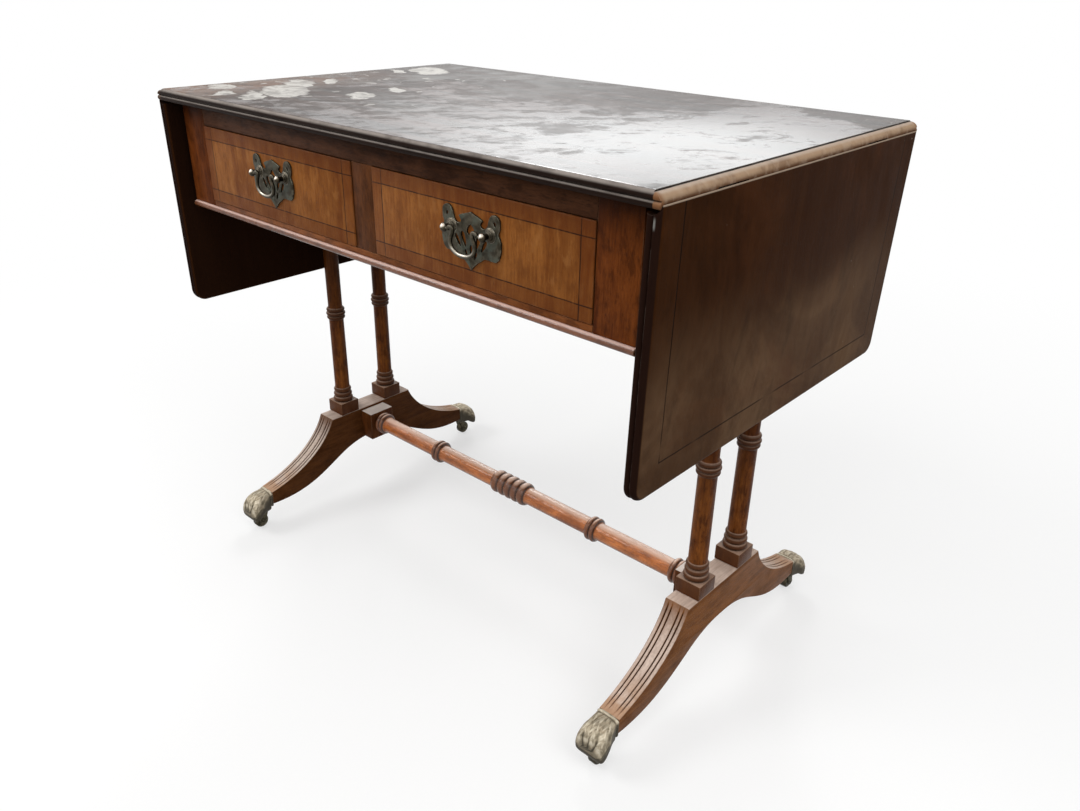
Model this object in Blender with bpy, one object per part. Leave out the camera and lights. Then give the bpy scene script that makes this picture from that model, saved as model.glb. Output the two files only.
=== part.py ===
"""Sofa-style coffee table with a drop leaf at each end and two drawers, on trestle ends with paw castors.

Metres, +Z up. The drawers face -Y, the leaves hang at -X and +X, and the origin is on the floor at the
centre of the plan.
"""
import math

import bmesh
import bpy
from mathutils import Vector

# Fits
FIT = 0.0003                # gap between glued or screwed faces
RUN_CLEAR = 0.0003          # radial gap round pins and axles

# Top and leaves
HEIGHT = 0.527
TOP_SPAN = 0.612            # distance between the two rule joint axes
TOP_DEPTH = 0.400
TOP_THICK = 0.012           # the leaves have the same thickness
LEAF_LENGTH = 0.2186        # joint axis to the free edge
LEAF_CORNER = 0.013
LEAF_HANG = 1.0             # degrees past vertical, where a free leaf balances below its axis
RULE_RADIUS = 0.0068        # ovolo on the top
RULE_FILLET = 0.0012        # square step above the ovolo
RULE_CLEAR = 0.0004         # cove on the leaf is larger by this
LIP_CLEAR = 0.0003          # end of the leaf's lip to the top's step
EDGE_ROUND = 0.0046         # upper bead of the reeded edge
EDGE_GROOVE = 0.0017        # depth of the groove between the two beads
EDGE_BEAD = 0.0028          # radius of the lower bead

# Leaf hinges
HINGE_SET = 0.085           # front or back edge of the top to the middle of the nearest hinge
HINGE_WIDTH = 0.038
HINGE_KNUCKLE = 0.014       # width of the middle knuckle
HINGE_BARREL = 0.0024       # radius
HINGE_PIN = 0.0011          # radius
HINGE_PLATE = 0.0020        # thickness
HINGE_FIXED_REACH = 0.026
HINGE_FLAP_REACH = 0.045
HINGE_COMB = 0.0050         # depth of the cut-outs beside the knuckles

# Frieze
TOP_OVERHANG = 0.0145       # top edge to frieze face, front and back
LEAF_ROOM = 0.010           # hanging leaf to frieze end
FRIEZE_HEIGHT = 0.1065
FRONT_THICK = 0.018
BACK_THICK = 0.012
END_THICK = 0.010
STILE_WIDTH = 0.0383
DIVIDER_WIDTH = 0.0274
TOP_RAIL = 0.019
LOWER_RAIL = 0.006
LOWER_RAIL_DEPTH = 0.045
BEAD_HEIGHT = 0.006
BEAD_DEPTH = 0.023
BEAD_PROUD = 0.003

# Fly brackets behind the leaves
FLY_CLEAR = 0.0014          # bracket to the hanging leaf
FLY_HEIGHT = 0.042
FLY_DROP = 0.0025           # below the underside of the top
FLY_LENGTH = 0.105
FLY_TIP = 0.014             # height of the free end
FLY_FIXED = 0.070
FLY_PIN = 0.0015            # radius
FLY_FINGER = 0.014          # height of the middle finger

# Drawers
DRAWER_GAP = 0.0006         # round the drawer front
DRAWER_PROUD = 0.001
DRAWER_FRONT = 0.015
DRAWER_ROOM = 0.0387        # drawer back to the back rail
DRAWER_SIDE = 0.009
DRAWER_SIDE_DROP = 0.005    # side boards lie this much below the top of the front
DRAWER_BACK = 0.008
DRAWER_BOTTOM = 0.004
BOTTOM_HEIGHT = 0.006       # underside of the bottom board above the drawer's lower edge
BOTTOM_GROOVE = 0.004
BOTTOM_PLAY = 0.0003

# Drawer guides
TONGUE_HEIGHT = 0.008
TONGUE_REACH = 0.0045       # into the drawer side
TONGUE_PLAY = 0.0006        # under the tongue and at its end
GUIDE_HEIGHT = 0.028
BEARER_HEIGHT = 0.054
GUIDE_CLEAR = 0.0003        # guide face to drawer opening

# Handles
HANDLE_WIDTH = 0.062
HANDLE_HEIGHT = 0.048
HANDLE_PLATE = 0.0016
POST_SPREAD = 0.042
POST_RISE = 0.0076          # bail axis above the middle of the drawer front
POST_RADIUS = 0.0036
POST_REACH = 0.0086         # plate face to the middle of the post's head
SHANK_RADIUS = 0.0020
NUT_RADIUS = 0.0042
NUT_THICK = 0.0030
BAIL_RADIUS = 0.0019
BAIL_PIN = 0.0011
BAIL_DROP = 0.0185

# Trestle ends
COLUMN_SET = 0.018          # frieze end to the column axis
TRESTLE_THICK = 0.0264
TRESTLE_TOP = 0.1138        # height of the flat above the floor
TRESTLE_FLAT = 0.127        # length of the flat
TRESTLE_DEPTH = 0.0422      # flat to the crown of the arch
LEG_REACH = 0.161           # middle of the trestle to the end of the leg
LEG_END = 0.0172            # depth of the leg where it enters the paw
LEG_END_WIDTH = 0.0226
REED_DEPTH = 0.0012
REED_HALF = 0.0009          # half the width of a groove
REED_INNER = 0.0042         # groove axis from the middle of the leg
REED_OUTER = 0.0086
TENON_WIDTH = 0.013
TENON_DEPTH = 0.010
TENON_LENGTH = 0.012

# Columns
COLUMN_SPREAD = 0.070
PLINTH_WIDTH = 0.027
PLINTH_HEIGHT = 0.016
SHAFT_RADIUS = 0.0093
FOOT_REED_RADIUS = 0.0124
FOOT_REED_HEIGHT = 0.0063
COLLAR_HEIGHT = 0.1205      # plinth top to the middle of the collar
COLLAR_RADIUS = 0.0118
COLLAR_REED = 0.0050
DOWEL_RADIUS = 0.0040
DOWEL_LENGTH = 0.014

# Stretcher
BLOCK_THICK = 0.020
BLOCK_WIDTH = 0.036
BLOCK_HEIGHT = 0.0365
BLOCK_DROP = 0.0028         # below the flat of the trestle
STRETCHER_DROP = 0.019      # axis below the flat of the trestle
STRETCHER_RADIUS = 0.0098
RING_RADIUS = 0.0136
RING_WIDTH = 0.0062
STRETCHER_COLLAR_AT = 0.124
CENTRE_REED_WIDTH = 0.0104
CENTRE_REEDS = 5
STRETCHER_TENON = 0.0050
STRETCHER_TENON_LENGTH = 0.012

# Paw castors
WHEEL_DIAMETER = 0.017
WHEEL_WIDTH = 0.009
AXLE_RADIUS = 0.0015
TRAIL = 0.0045              # swivel axis to axle
SWIVEL_IN = 0.010           # swivel axis beyond the end of the leg
CROWN_ROOM = 0.0015         # wheel to crown plate
CROWN_PLATE = 0.0030
CROWN_RADIUS = 0.0065
CHEEK_THICK = 0.0015
CHEEK_GAP = 0.0004
CHEEK_END = 0.0042          # radius of a cheek round the axle
PIVOT_RADIUS = 0.0022
PIVOT_LENGTH = 0.0045
PAW_HEEL = 0.0082           # underside of the paw to the underside of the leg
PAW_LENGTH = 0.0295
PAW_WIDTH = 0.0286          # across the toes
PAW_BAND = 0.0005           # band proud of the leg on each side
TOE_DROP = 0.0056           # toes below the flat underside
TOE_START = 0.0175          # from the back of the paw

# Facets
TURN_SIDES = 14
ARC_STEPS = 5

# Derived places
RULE_X = TOP_SPAN / 2
TOP_UNDER = HEIGHT - TOP_THICK
RULE_Z = HEIGHT - RULE_FILLET - RULE_RADIUS
RULE_DROP = RULE_Z - TOP_UNDER
HINGE_Y = TOP_DEPTH / 2 - HINGE_SET
FRIEZE_X = RULE_X - RULE_DROP - LEAF_ROOM
FRIEZE_Y = TOP_DEPTH / 2 - TOP_OVERHANG
FRIEZE_LOW = TOP_UNDER - FRIEZE_HEIGHT
FRIEZE_TOP = TOP_UNDER - FIT
OPEN_IN = DIVIDER_WIDTH / 2
OPEN_OUT = FRIEZE_X - STILE_WIDTH
OPEN_LOW = FRIEZE_LOW + BEAD_HEIGHT + LOWER_RAIL
OPEN_HIGH = TOP_UNDER - TOP_RAIL
OPEN_MID = (OPEN_LOW + OPEN_HIGH) / 2
STILE_BACK = -FRIEZE_Y + FRONT_THICK
BACK_FACE = FRIEZE_Y - BACK_THICK
DRAWER_X = (OPEN_IN + OPEN_OUT) / 2
DRAWER_HALF = (OPEN_OUT - OPEN_IN) / 2 - DRAWER_GAP
DRAWER_LOW = OPEN_LOW + DRAWER_GAP
DRAWER_HIGH = OPEN_HIGH - DRAWER_GAP
DRAWER_FACE = -FRIEZE_Y - DRAWER_PROUD
SIDE_START = DRAWER_FACE + DRAWER_FRONT + FIT
SIDE_END = BACK_FACE - DRAWER_ROOM
TONGUE_LOW = OPEN_MID - TONGUE_HEIGHT
TONGUE_TOP = TONGUE_LOW + TONGUE_HEIGHT
COLUMN_X = FRIEZE_X - COLUMN_SET
COLUMN_Y = COLUMN_SPREAD / 2
PLINTH_LOW = TRESTLE_TOP + FIT
COLUMN_TOP = FRIEZE_LOW - FIT
BLOCK_FACE = COLUMN_X - TRESTLE_THICK / 2 - FIT - BLOCK_THICK
STRETCHER_Z = TRESTLE_TOP - STRETCHER_DROP
CROWN_TOP = WHEEL_DIAMETER + CROWN_ROOM + CROWN_PLATE
PAW_UNDER = CROWN_TOP + FIT
LEG_END_LOW = PAW_UNDER + PAW_HEEL
TENON_LOW = LEG_END_LOW + (LEG_END - TENON_DEPTH) / 2
SWIVEL_Y = LEG_REACH + SWIVEL_IN

# Finishes: base colour, roughness, metallic
DARK_MAHOGANY = ((0.075, 0.030, 0.018), 0.30, 0.0)
RED_MAHOGANY = ((0.180, 0.060, 0.025), 0.40, 0.0)
ORANGE_VENEER = ((0.300, 0.125, 0.045), 0.38, 0.0)
PALE_CARCASE = ((0.420, 0.270, 0.150), 0.60, 0.0)
AGED_BRASS = ((0.130, 0.120, 0.080), 0.45, 1.0)
PALE_BRASS = ((0.430, 0.370, 0.240), 0.50, 1.0)
HINGE_STEEL = ((0.280, 0.240, 0.180), 0.45, 1.0)


def clear_scene():
    """Start from an empty scene."""
    for old in list(bpy.data.objects):
        bpy.data.objects.remove(old, do_unlink=True)


def make_finish(name, finish):
    """Give a piece its own plain material."""
    colour, roughness, metallic = finish
    material = bpy.data.materials.new(name + "_finish")
    material.use_nodes = True
    shader = material.node_tree.nodes["Principled BSDF"]
    shader.inputs["Base Color"].default_value = (*colour, 1.0)
    shader.inputs["Roughness"].default_value = roughness
    shader.inputs["Metallic"].default_value = metallic
    material.diffuse_color = (*colour, 1.0)
    return material


def link_mesh(name, shape, origin, parent):
    """Turn a bmesh drawn about its origin into a linked object."""
    bmesh.ops.recalc_face_normals(shape, faces=shape.faces)
    mesh = bpy.data.meshes.new(name)
    shape.to_mesh(mesh)
    shape.free()
    piece = bpy.data.objects.new(name, mesh)
    piece.location = origin
    piece.parent = parent
    bpy.context.scene.collection.objects.link(piece)
    return piece


def add_piece(name, shape, finish, origin=(0, 0, 0), parent=None, smooth=False):
    """Add one named piece of the table."""
    piece = link_mesh(name, shape, origin, parent)
    piece.data.materials.append(make_finish(name, finish))
    if smooth:
        piece.data.shade_smooth()
        piece.data.set_sharp_from_angle(angle=math.radians(40))
    return piece


def add_axis(name, origin, parent=None, turn_y=0.0):
    """Add an empty on a joint's axis."""
    axis = bpy.data.objects.new(name, None)
    axis.location = origin
    axis.rotation_euler = (0, turn_y, 0)
    axis.parent = parent
    bpy.context.scene.collection.objects.link(axis)
    return axis


def combine(piece, shape, operation):
    """Cut a shape out of a piece or join it on; the shape is drawn about the piece's origin."""
    count = len(piece.modifiers) + 1
    tool = link_mesh(f"{piece.name}_{operation.lower()}_{count}", shape, piece.location, piece.parent)
    tool.hide_render = True
    tool.display_type = "WIRE"
    modifier = piece.modifiers.new(f"{operation.lower()}_{count}", "BOOLEAN")
    modifier.operation = operation
    modifier.solver = "EXACT"
    modifier.object = tool


def cut(piece, shape):
    combine(piece, shape, "DIFFERENCE")


def join(piece, shape):
    combine(piece, shape, "UNION")


def keep_common(piece, shape):
    combine(piece, shape, "INTERSECT")


def loft(rings):
    """Skin rings of equal point counts and close both ends."""
    shape = bmesh.new()
    rows = [[shape.verts.new(point) for point in ring] for ring in rings]
    count = len(rings[0])
    for row, following in zip(rows, rows[1:]):
        for i in range(count):
            j = (i + 1) % count
            shape.faces.new((row[i], row[j], following[j], following[i]))
    shape.faces.new(list(reversed(rows[0])))
    shape.faces.new(rows[-1])
    return shape


def prism(outline, axis, low, high):
    """Extrude a flat outline along an axis: (y, z) along X, (x, z) along Y or (x, y) along Z."""
    place = {
        "X": lambda a, b, along: (along, a, b),
        "Y": lambda a, b, along: (a, along, b),
        "Z": lambda a, b, along: (a, b, along),
    }[axis]
    return loft([[place(a, b, along) for a, b in outline] for along in (low, high)])


def block(low, high):
    """Box between two corners."""
    (x0, y0, z0), (x1, y1, z1) = low, high
    return prism([(x0, y0), (x1, y0), (x1, y1), (x0, y1)], "Z", z0, z1)


def turned(profile, axis="Z", centre=(0, 0, 0), sides=TURN_SIDES):
    """Turn (radius, station) points about an axis through centre."""
    middle = Vector(centre)
    rings = []
    for radius, station in profile:
        ring = []
        for i in range(sides):
            angle = 2 * math.pi * (i + 0.5) / sides
            a, b = radius * math.cos(angle), radius * math.sin(angle)
            point = {"X": (station, a, b), "Y": (b, station, a), "Z": (a, b, station)}[axis]
            ring.append(middle + Vector(point))
        rings.append(ring)
    return loft(rings)


def rod(radius, low, high, axis="Z", centre=(0, 0, 0), sides=TURN_SIDES):
    """Plain cylinder between two stations of an axis."""
    return turned([(radius, low), (radius, high)], axis, centre, sides)


def arc(centre, radius, start, end, steps=ARC_STEPS):
    """Points of an arc, angles in degrees."""
    points = []
    for i in range(steps + 1):
        angle = math.radians(start + (end - start) * i / steps)
        points.append((centre[0] + radius * math.cos(angle), centre[1] + radius * math.sin(angle)))
    return points


def bezier(a, b, c, d, steps):
    """Points of a cubic curve."""
    points = []
    for i in range(steps + 1):
        t = i / steps
        s = 1 - t
        weights = (s ** 3, 3 * s * s * t, 3 * s * t * t, t ** 3)
        points.append(tuple(sum(w * p[k] for w, p in zip(weights, (a, b, c, d))) for k in (0, 1)))
    return points


def reeds(start, height, count, inner, outer, steps=4):
    """Half-round reeds along a turned profile, as (radius, station) points."""
    points = []
    for n in range(count):
        for i in range(steps + 1):
            t = i / steps
            rise = math.sin(math.pi * t)
            points.append((inner + (outer - inner) * rise, start + height * (n + 0.02 + 0.96 * t)))
    return points


def reeded_edge():
    """Section of a table edge as (inset, depth below the surface): two beads with a groove between."""
    upper = [(EDGE_ROUND + y, EDGE_ROUND + z) for y, z in arc((0, 0), EDGE_ROUND, 270, 180)]
    bead_depth = TOP_THICK - EDGE_BEAD - 0.0002
    lower = [(EDGE_BEAD + y, bead_depth + z) for y, z in arc((0, 0), EDGE_BEAD, 245, 90)]
    groove = [(EDGE_GROOVE, lower[0][1] - 0.0004)]
    return upper + groove + lower + [(EDGE_BEAD, TOP_THICK)]


def build_top():
    """Fixed top: ovolo at each end, reeded edge front and back."""
    end = math.degrees(math.asin(RULE_DROP / RULE_RADIUS))
    right = arc((RULE_X, RULE_Z), RULE_RADIUS, -end, 90, 10)
    profile = right + [(RULE_X, HEIGHT), (-RULE_X, HEIGHT)]
    profile += [(-x, z) for x, z in reversed(right)]
    top = add_piece("top", prism(profile, "Y", -TOP_DEPTH / 2 - 0.01, TOP_DEPTH / 2 + 0.01), DARK_MAHOGANY)
    edge = [(-TOP_DEPTH / 2 + inset, HEIGHT - depth) for inset, depth in reeded_edge()]
    edge[0] = (edge[0][0], HEIGHT)
    section = edge + [(-y, z) for y, z in reversed(edge)]
    keep_common(top, prism(section, "X", -RULE_X - 0.03, RULE_X + 0.03))
    for side in (-1, 1):
        for station in (-1, 1):
            cut_hinge_pocket(top, side, station * HINGE_Y)


def cut_hinge_pocket(top, side, y):
    """Recess in the underside of the top for one hinge."""
    half = HINGE_WIDTH / 2 + FIT
    below = TOP_UNDER - 0.002
    plate_roof = TOP_UNDER + HINGE_PLATE + FIT
    plate_x = sorted((side * (RULE_X - HINGE_FIXED_REACH - FIT), side * RULE_X))
    cut(top, block((plate_x[0], y - half, below), (plate_x[1], y + half, plate_roof)))
    sweep_x = sorted((side * (RULE_X - HINGE_COMB - FIT), side * (RULE_X + RULE_RADIUS + 0.001)))
    sweep_roof = RULE_Z + RULE_DROP * math.sin(math.radians(LEAF_HANG)) + FIT
    cut(top, block((sweep_x[0], y - half - FIT, below - FIT), (sweep_x[1], y + half + FIT, sweep_roof)))
    barrel = HINGE_BARREL + 2 * RUN_CLEAR
    cut(top, rod(barrel, y - half - 2 * FIT, y + half + 2 * FIT, "Y", (side * RULE_X, 0, RULE_Z), 12))


def leaf_slab(side):
    """Leaf blank lying open, reeded round three sides, drawn about the joint axis."""
    rings = []
    inner = -0.02
    for inset, depth in reeded_edge():
        z = RULE_RADIUS + RULE_FILLET - depth
        y = TOP_DEPTH / 2 - inset
        x = LEAF_LENGTH - inset
        radius = LEAF_CORNER - inset
        plan = [(inner, -y)] + arc((x - radius, -y + radius), radius, -90, 0)
        plan += arc((x - radius, y - radius), radius, 0, 90) + [(inner, y)]
        rings.append([(side * a, b, z) for a, b in plan])
    return loft(rings)


def build_leaf(name, side, axis):
    """Drop leaf: cove along the joint, reeded edge on the other sides."""
    leaf = add_piece(name, leaf_slab(side), DARK_MAHOGANY, parent=axis)
    cove = RULE_RADIUS + RULE_CLEAR
    end = math.degrees(math.asin(RULE_DROP / cove))
    far = LEAF_LENGTH + 0.02
    high = RULE_RADIUS + RULE_FILLET + 0.001
    low = -RULE_DROP - 0.001
    profile = [(LIP_CLEAR, high), (LIP_CLEAR, cove)] + arc((0, 0), cove, 88, -end, 10)
    profile += [(profile[-1][0], low), (far, low), (far, high)]
    profile = [(side * x, z) for x, z in profile]
    keep_common(leaf, prism(profile, "Y", -TOP_DEPTH / 2 - 0.01, TOP_DEPTH / 2 + 0.01))
    half = HINGE_WIDTH / 2 + FIT
    roof = -RULE_DROP + HINGE_PLATE + FIT
    reach = sorted((0.0, side * (HINGE_FLAP_REACH + FIT)))
    for station in (-1, 1):
        y = station * HINGE_Y
        cut(leaf, block((reach[0], y - half, low), (reach[1], y + half, roof)))


def hinge_plate(side, reach, tabs):
    """Flat hinge plate with comb tabs towards the axis, drawn about the axis with the table open.

    side is +1 or -1 for the way it reaches; tabs are (low, high) spans along the axis.
    """
    half = HINGE_WIDTH / 2
    low = -RULE_DROP + 0.00005
    high = -RULE_DROP + HINGE_PLATE
    full = sorted((side * HINGE_COMB, side * reach))
    plate = block((full[0], -half, low), (full[1], half, high))
    near = sorted((0.0, side * (HINGE_COMB + 0.001)))
    return plate, [block((near[0], a, low), (near[1], b, high)) for a, b in tabs]


def build_hinge(label, side, station, leaf_axis):
    """One leaf hinge: a fixed plate with the pin under the top and a flap on the leaf."""
    y = station * HINGE_Y
    half = HINGE_WIDTH / 2
    middle = HINGE_KNUCKLE / 2
    origin = (side * RULE_X, y, RULE_Z)
    plate, tabs = hinge_plate(-side, HINGE_FIXED_REACH, [(-middle, middle)])
    fixed = add_piece(f"hinge_plate_{label}", plate, HINGE_STEEL, origin, smooth=True)
    join(fixed, tabs[0])
    join(fixed, rod(HINGE_BARREL, -middle + 0.0001, middle - 0.0001, "Y", sides=12))
    join(fixed, rod(HINGE_PIN, -half, half, "Y", sides=10))
    outer = [(-half, -middle - FIT), (middle + FIT, half)]
    plate, tabs = hinge_plate(side, HINGE_FLAP_REACH, outer)
    flap = add_piece(f"hinge_flap_{label}", plate, HINGE_STEEL, (0, y, 0), leaf_axis, smooth=True)
    for tab, (low, high) in zip(tabs, outer):
        join(flap, tab)
        join(flap, rod(HINGE_BARREL, low + 0.0001, high - 0.0001, "Y", sides=12))
    cut(flap, rod(HINGE_PIN + RUN_CLEAR, -half - 0.002, half + 0.002, "Y", sides=10))


def build_leaves():
    """Both leaves with their hinges, hanging."""
    for label, side in (("left", -1), ("right", 1)):
        hang = side * math.radians(90 + LEAF_HANG)
        axis = add_axis(f"leaf_{label}_axis", (side * RULE_X, 0, RULE_Z), turn_y=hang)
        build_leaf(f"leaf_{label}", side, axis)
        for place, station in (("front", -1), ("back", 1)):
            build_hinge(f"{label}_{place}", side, station, axis)


def build_frieze_front():
    """Rails, stiles, divider and bead of the drawer front."""
    face, back = -FRIEZE_Y, STILE_BACK
    span = OPEN_OUT - FIT
    rail = block((-span, face, OPEN_HIGH), (span, back, FRIEZE_TOP))
    add_piece("rail_front_top", rail, DARK_MAHOGANY)
    lower = block((-span, face, OPEN_LOW - LOWER_RAIL + FIT), (span, face + LOWER_RAIL_DEPTH, OPEN_LOW))
    add_piece("rail_front_bottom", lower, RED_MAHOGANY)
    stile_low = FRIEZE_LOW + BEAD_HEIGHT + FIT
    for label, side in (("left", -1), ("right", 1)):
        x0, x1 = sorted((side * OPEN_OUT, side * FRIEZE_X))
        stile = block((x0, face, stile_low), (x1, back, FRIEZE_TOP))
        add_piece(f"stile_front_{label}", stile, RED_MAHOGANY)
    divider = block((-OPEN_IN, face, OPEN_LOW + FIT), (OPEN_IN, back, OPEN_HIGH - FIT))
    add_piece("divider_front", divider, DARK_MAHOGANY)
    radius = BEAD_HEIGHT / 2
    round_face = arc((face - BEAD_PROUD + radius, FRIEZE_LOW + radius), radius, 270, 90, 8)
    section = round_face + [(face + BEAD_DEPTH, FRIEZE_LOW + BEAD_HEIGHT), (face + BEAD_DEPTH, FRIEZE_LOW)]
    bead = prism(section, "X", -FRIEZE_X, FRIEZE_X)
    add_piece("bead_front", bead, RED_MAHOGANY, smooth=True)


def build_frieze_frame():
    """Back rail, end rails with the fixed half of the fly joint, and the drawer guides."""
    back = block((-FRIEZE_X, BACK_FACE, FRIEZE_LOW), (FRIEZE_X, FRIEZE_Y, FRIEZE_TOP))
    add_piece("back_rail", back, RED_MAHOGANY)
    end_front = STILE_BACK + FIT
    end_back = BACK_FACE - FIT
    bead_back = -FRIEZE_Y + BEAD_DEPTH + FIT
    for label, side in (("left", -1), ("right", 1)):
        x0, x1 = sorted((side * (FRIEZE_X - END_THICK), side * FRIEZE_X))
        notch = FRIEZE_LOW + BEAD_HEIGHT + FIT
        profile = [(end_front, notch), (bead_back, notch), (bead_back, FRIEZE_LOW), (end_back, FRIEZE_LOW)]
        profile += [(end_back, FRIEZE_TOP), (end_front, FRIEZE_TOP)]
        rail = add_piece(f"end_rail_{label}", prism(profile, "X", x0, x1), RED_MAHOGANY)
        build_fly(label, side, rail)
        build_bearer(label, side, (bead_back, end_back))
    build_centre_guide(end_front, end_back)


def build_fly(label, side, end_rail):
    """Fly bracket folded behind the leaf, on a wooden knuckle joint with the end rail."""
    swing = (RULE_DROP + FLY_DROP + FLY_HEIGHT) * math.sin(math.radians(LEAF_HANG))
    thick = LEAF_ROOM - FIT - FLY_CLEAR - swing
    radius = thick / 2 - 0.0003
    middle = side * (FRIEZE_X + FIT + thick / 2)
    high = TOP_UNDER - FLY_DROP
    low = high - FLY_HEIGHT
    finger_low = (low + high - FLY_FINGER) / 2
    finger_high = finger_low + FLY_FINGER
    x0, x1 = sorted((side * (FRIEZE_X - 0.001), middle + side * thick / 2))
    join(end_rail, block((x0, 0.0, low), (x1, FLY_FIXED, high)))
    join(end_rail, rod(radius, low + 0.0001, high - 0.0001, centre=(middle, 0, 0)))
    reach = thick / 2 + FIT
    notch_x = sorted((side * (FRIEZE_X + 0.00005), middle + side * (thick / 2 + 0.001)))
    cut(end_rail, block((notch_x[0], -reach, finger_low), (notch_x[1], reach, finger_high)))
    cut(end_rail, rod(FLY_PIN + RUN_CLEAR, low - 0.001, high + 0.001, centre=(middle, 0, 0), sides=10))

    outline = [(0.0, low), (0.0, high), (-FLY_LENGTH, high), (-FLY_LENGTH, high - FLY_TIP)]
    outline += bezier((-FLY_LENGTH, high - FLY_TIP), (-0.7 * FLY_LENGTH, high - FLY_TIP),
                      (-0.6 * FLY_LENGTH, low), (-0.3 * FLY_LENGTH, low), 8)[1:]
    x0, x1 = sorted((side * (FRIEZE_X + FIT), middle + side * thick / 2))
    fly = add_piece(f"fly_bracket_{label}", prism(outline, "X", x0, x1), PALE_CARCASE)
    join(fly, rod(radius, finger_low - 0.001, finger_high + 0.001, centre=(middle, 0, 0)))
    for z0, z1 in ((low - 0.001, finger_low + FIT), (finger_high - FIT, high + 0.001)):
        cut(fly, block((x0 - 0.001, -reach, z0), (x1 + 0.001, reach, z1)))
    join(fly, rod(FLY_PIN, low, high, centre=(middle, 0, 0), sides=10))


def tongue(x, reach):
    """Corner points of a guide tongue on a face at x, from the top down."""
    return [(x, TONGUE_TOP), (x + reach, TONGUE_TOP), (x + reach, TONGUE_LOW), (x, TONGUE_LOW)]


def build_bearer(label, side, span):
    """End bearer: carries two columns below and guides a drawer with its tongue."""
    face = OPEN_OUT + GUIDE_CLEAR
    outer = FRIEZE_X - END_THICK - FIT
    reach = -(face - DRAWER_X - DRAWER_HALF) - TONGUE_REACH
    high = FRIEZE_LOW + BEARER_HEIGHT
    profile = [(face, FRIEZE_LOW), (outer, FRIEZE_LOW), (outer, high), (face, high)] + tongue(face, reach)
    profile = [(side * x, z) for x, z in profile]
    bearer = add_piece(f"bearer_{label}", prism(profile, "Y", *span), PALE_CARCASE)
    for station in (-1, 1):
        centre = (side * COLUMN_X, station * COLUMN_Y, 0)
        hole = rod(DOWEL_RADIUS + FIT, FRIEZE_LOW - 0.002, FRIEZE_LOW + DOWEL_LENGTH + FIT, "Z", centre, 12)
        cut(bearer, hole)


def build_centre_guide(front, back):
    """Rail between the drawers with a tongue on each side."""
    face = OPEN_IN - GUIDE_CLEAR
    reach = DRAWER_X - DRAWER_HALF - face + TONGUE_REACH
    low = OPEN_MID - TONGUE_HEIGHT / 2 - GUIDE_HEIGHT / 2
    high = low + GUIDE_HEIGHT
    right = [(face, low)] + list(reversed(tongue(face, reach))) + [(face, high)]
    profile = right + [(-x, z) for x, z in reversed(right)]
    add_piece("guide_centre", prism(profile, "Y", front, back), PALE_CARCASE)


def side_section(outward):
    """Section (x, z) of a drawer side about its outer face: guide groove outside, bottom groove inside."""
    high = DRAWER_HIGH - DRAWER_SIDE_DROP
    low = DRAWER_LOW
    groove_depth = TONGUE_REACH + TONGUE_PLAY
    groove_low = TONGUE_LOW - TONGUE_PLAY
    groove_high = TONGUE_TOP + RUN_CLEAR
    bottom_low = low + BOTTOM_HEIGHT
    bottom_high = bottom_low + DRAWER_BOTTOM + 2 * BOTTOM_PLAY
    inner = DRAWER_SIDE
    points = [(0, low), (0, groove_low), (groove_depth, groove_low), (groove_depth, groove_high)]
    points += [(0, groove_high), (0, high), (inner, high), (inner, bottom_high)]
    points += [(inner - BOTTOM_GROOVE, bottom_high), (inner - BOTTOM_GROOVE, bottom_low)]
    points += [(inner, bottom_low), (inner, low)]
    return [(-outward * x, z) for x, z in points]


def build_drawer(label, side):
    """Drawer box, drawn about a slide empty at the middle of its face, with its handle."""
    origin = (side * DRAWER_X, DRAWER_FACE, OPEN_MID)
    slide = add_axis(f"drawer_{label}_slide", origin)

    def place(low, high):
        a = tuple(p - o for p, o in zip(low, (0, DRAWER_FACE, OPEN_MID)))
        b = tuple(p - o for p, o in zip(high, (0, DRAWER_FACE, OPEN_MID)))
        return block(a, b)

    front_back = DRAWER_FACE + DRAWER_FRONT
    shape = place((-DRAWER_HALF, DRAWER_FACE, DRAWER_LOW), (DRAWER_HALF, front_back, DRAWER_HIGH))
    front = add_piece(f"drawer_{label}_front", shape, ORANGE_VENEER, parent=slide)
    groove_low = DRAWER_LOW + BOTTOM_HEIGHT
    groove_high = groove_low + DRAWER_BOTTOM + 2 * BOTTOM_PLAY
    inner = DRAWER_HALF - DRAWER_SIDE
    groove = inner + BOTTOM_GROOVE
    cut(front, place((-groove, front_back - BOTTOM_GROOVE, groove_low),
                     (groove, front_back + 0.002, groove_high)))
    for station in (-1, 1):
        hole = rod(SHANK_RADIUS + FIT, -0.002, DRAWER_FRONT + 0.002, "Y",
                   (station * POST_SPREAD / 2, 0, POST_RISE), 10)
        cut(front, hole)
    for name, outward in (("side_left", -1), ("side_right", 1)):
        section = [(outward * DRAWER_HALF + x, z - OPEN_MID) for x, z in side_section(outward)]
        shape = prism(section, "Y", SIDE_START - DRAWER_FACE, SIDE_END - DRAWER_FACE)
        add_piece(f"drawer_{label}_{name}", shape, PALE_CARCASE, parent=slide)
    back_low = groove_high
    back_high = DRAWER_HIGH - DRAWER_SIDE_DROP - 0.004
    shape = place((-inner + FIT, SIDE_END - DRAWER_BACK, back_low), (inner - FIT, SIDE_END, back_high))
    add_piece(f"drawer_{label}_back", shape, PALE_CARCASE, parent=slide)
    bottom_low = groove_low + BOTTOM_PLAY
    width = groove - BOTTOM_PLAY
    shape = place((-width, front_back - BOTTOM_GROOVE + BOTTOM_PLAY, bottom_low),
                  (width, SIDE_END, bottom_low + DRAWER_BOTTOM))
    add_piece(f"drawer_{label}_bottom", shape, PALE_CARCASE, parent=slide)
    build_handle(label, slide)


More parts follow.
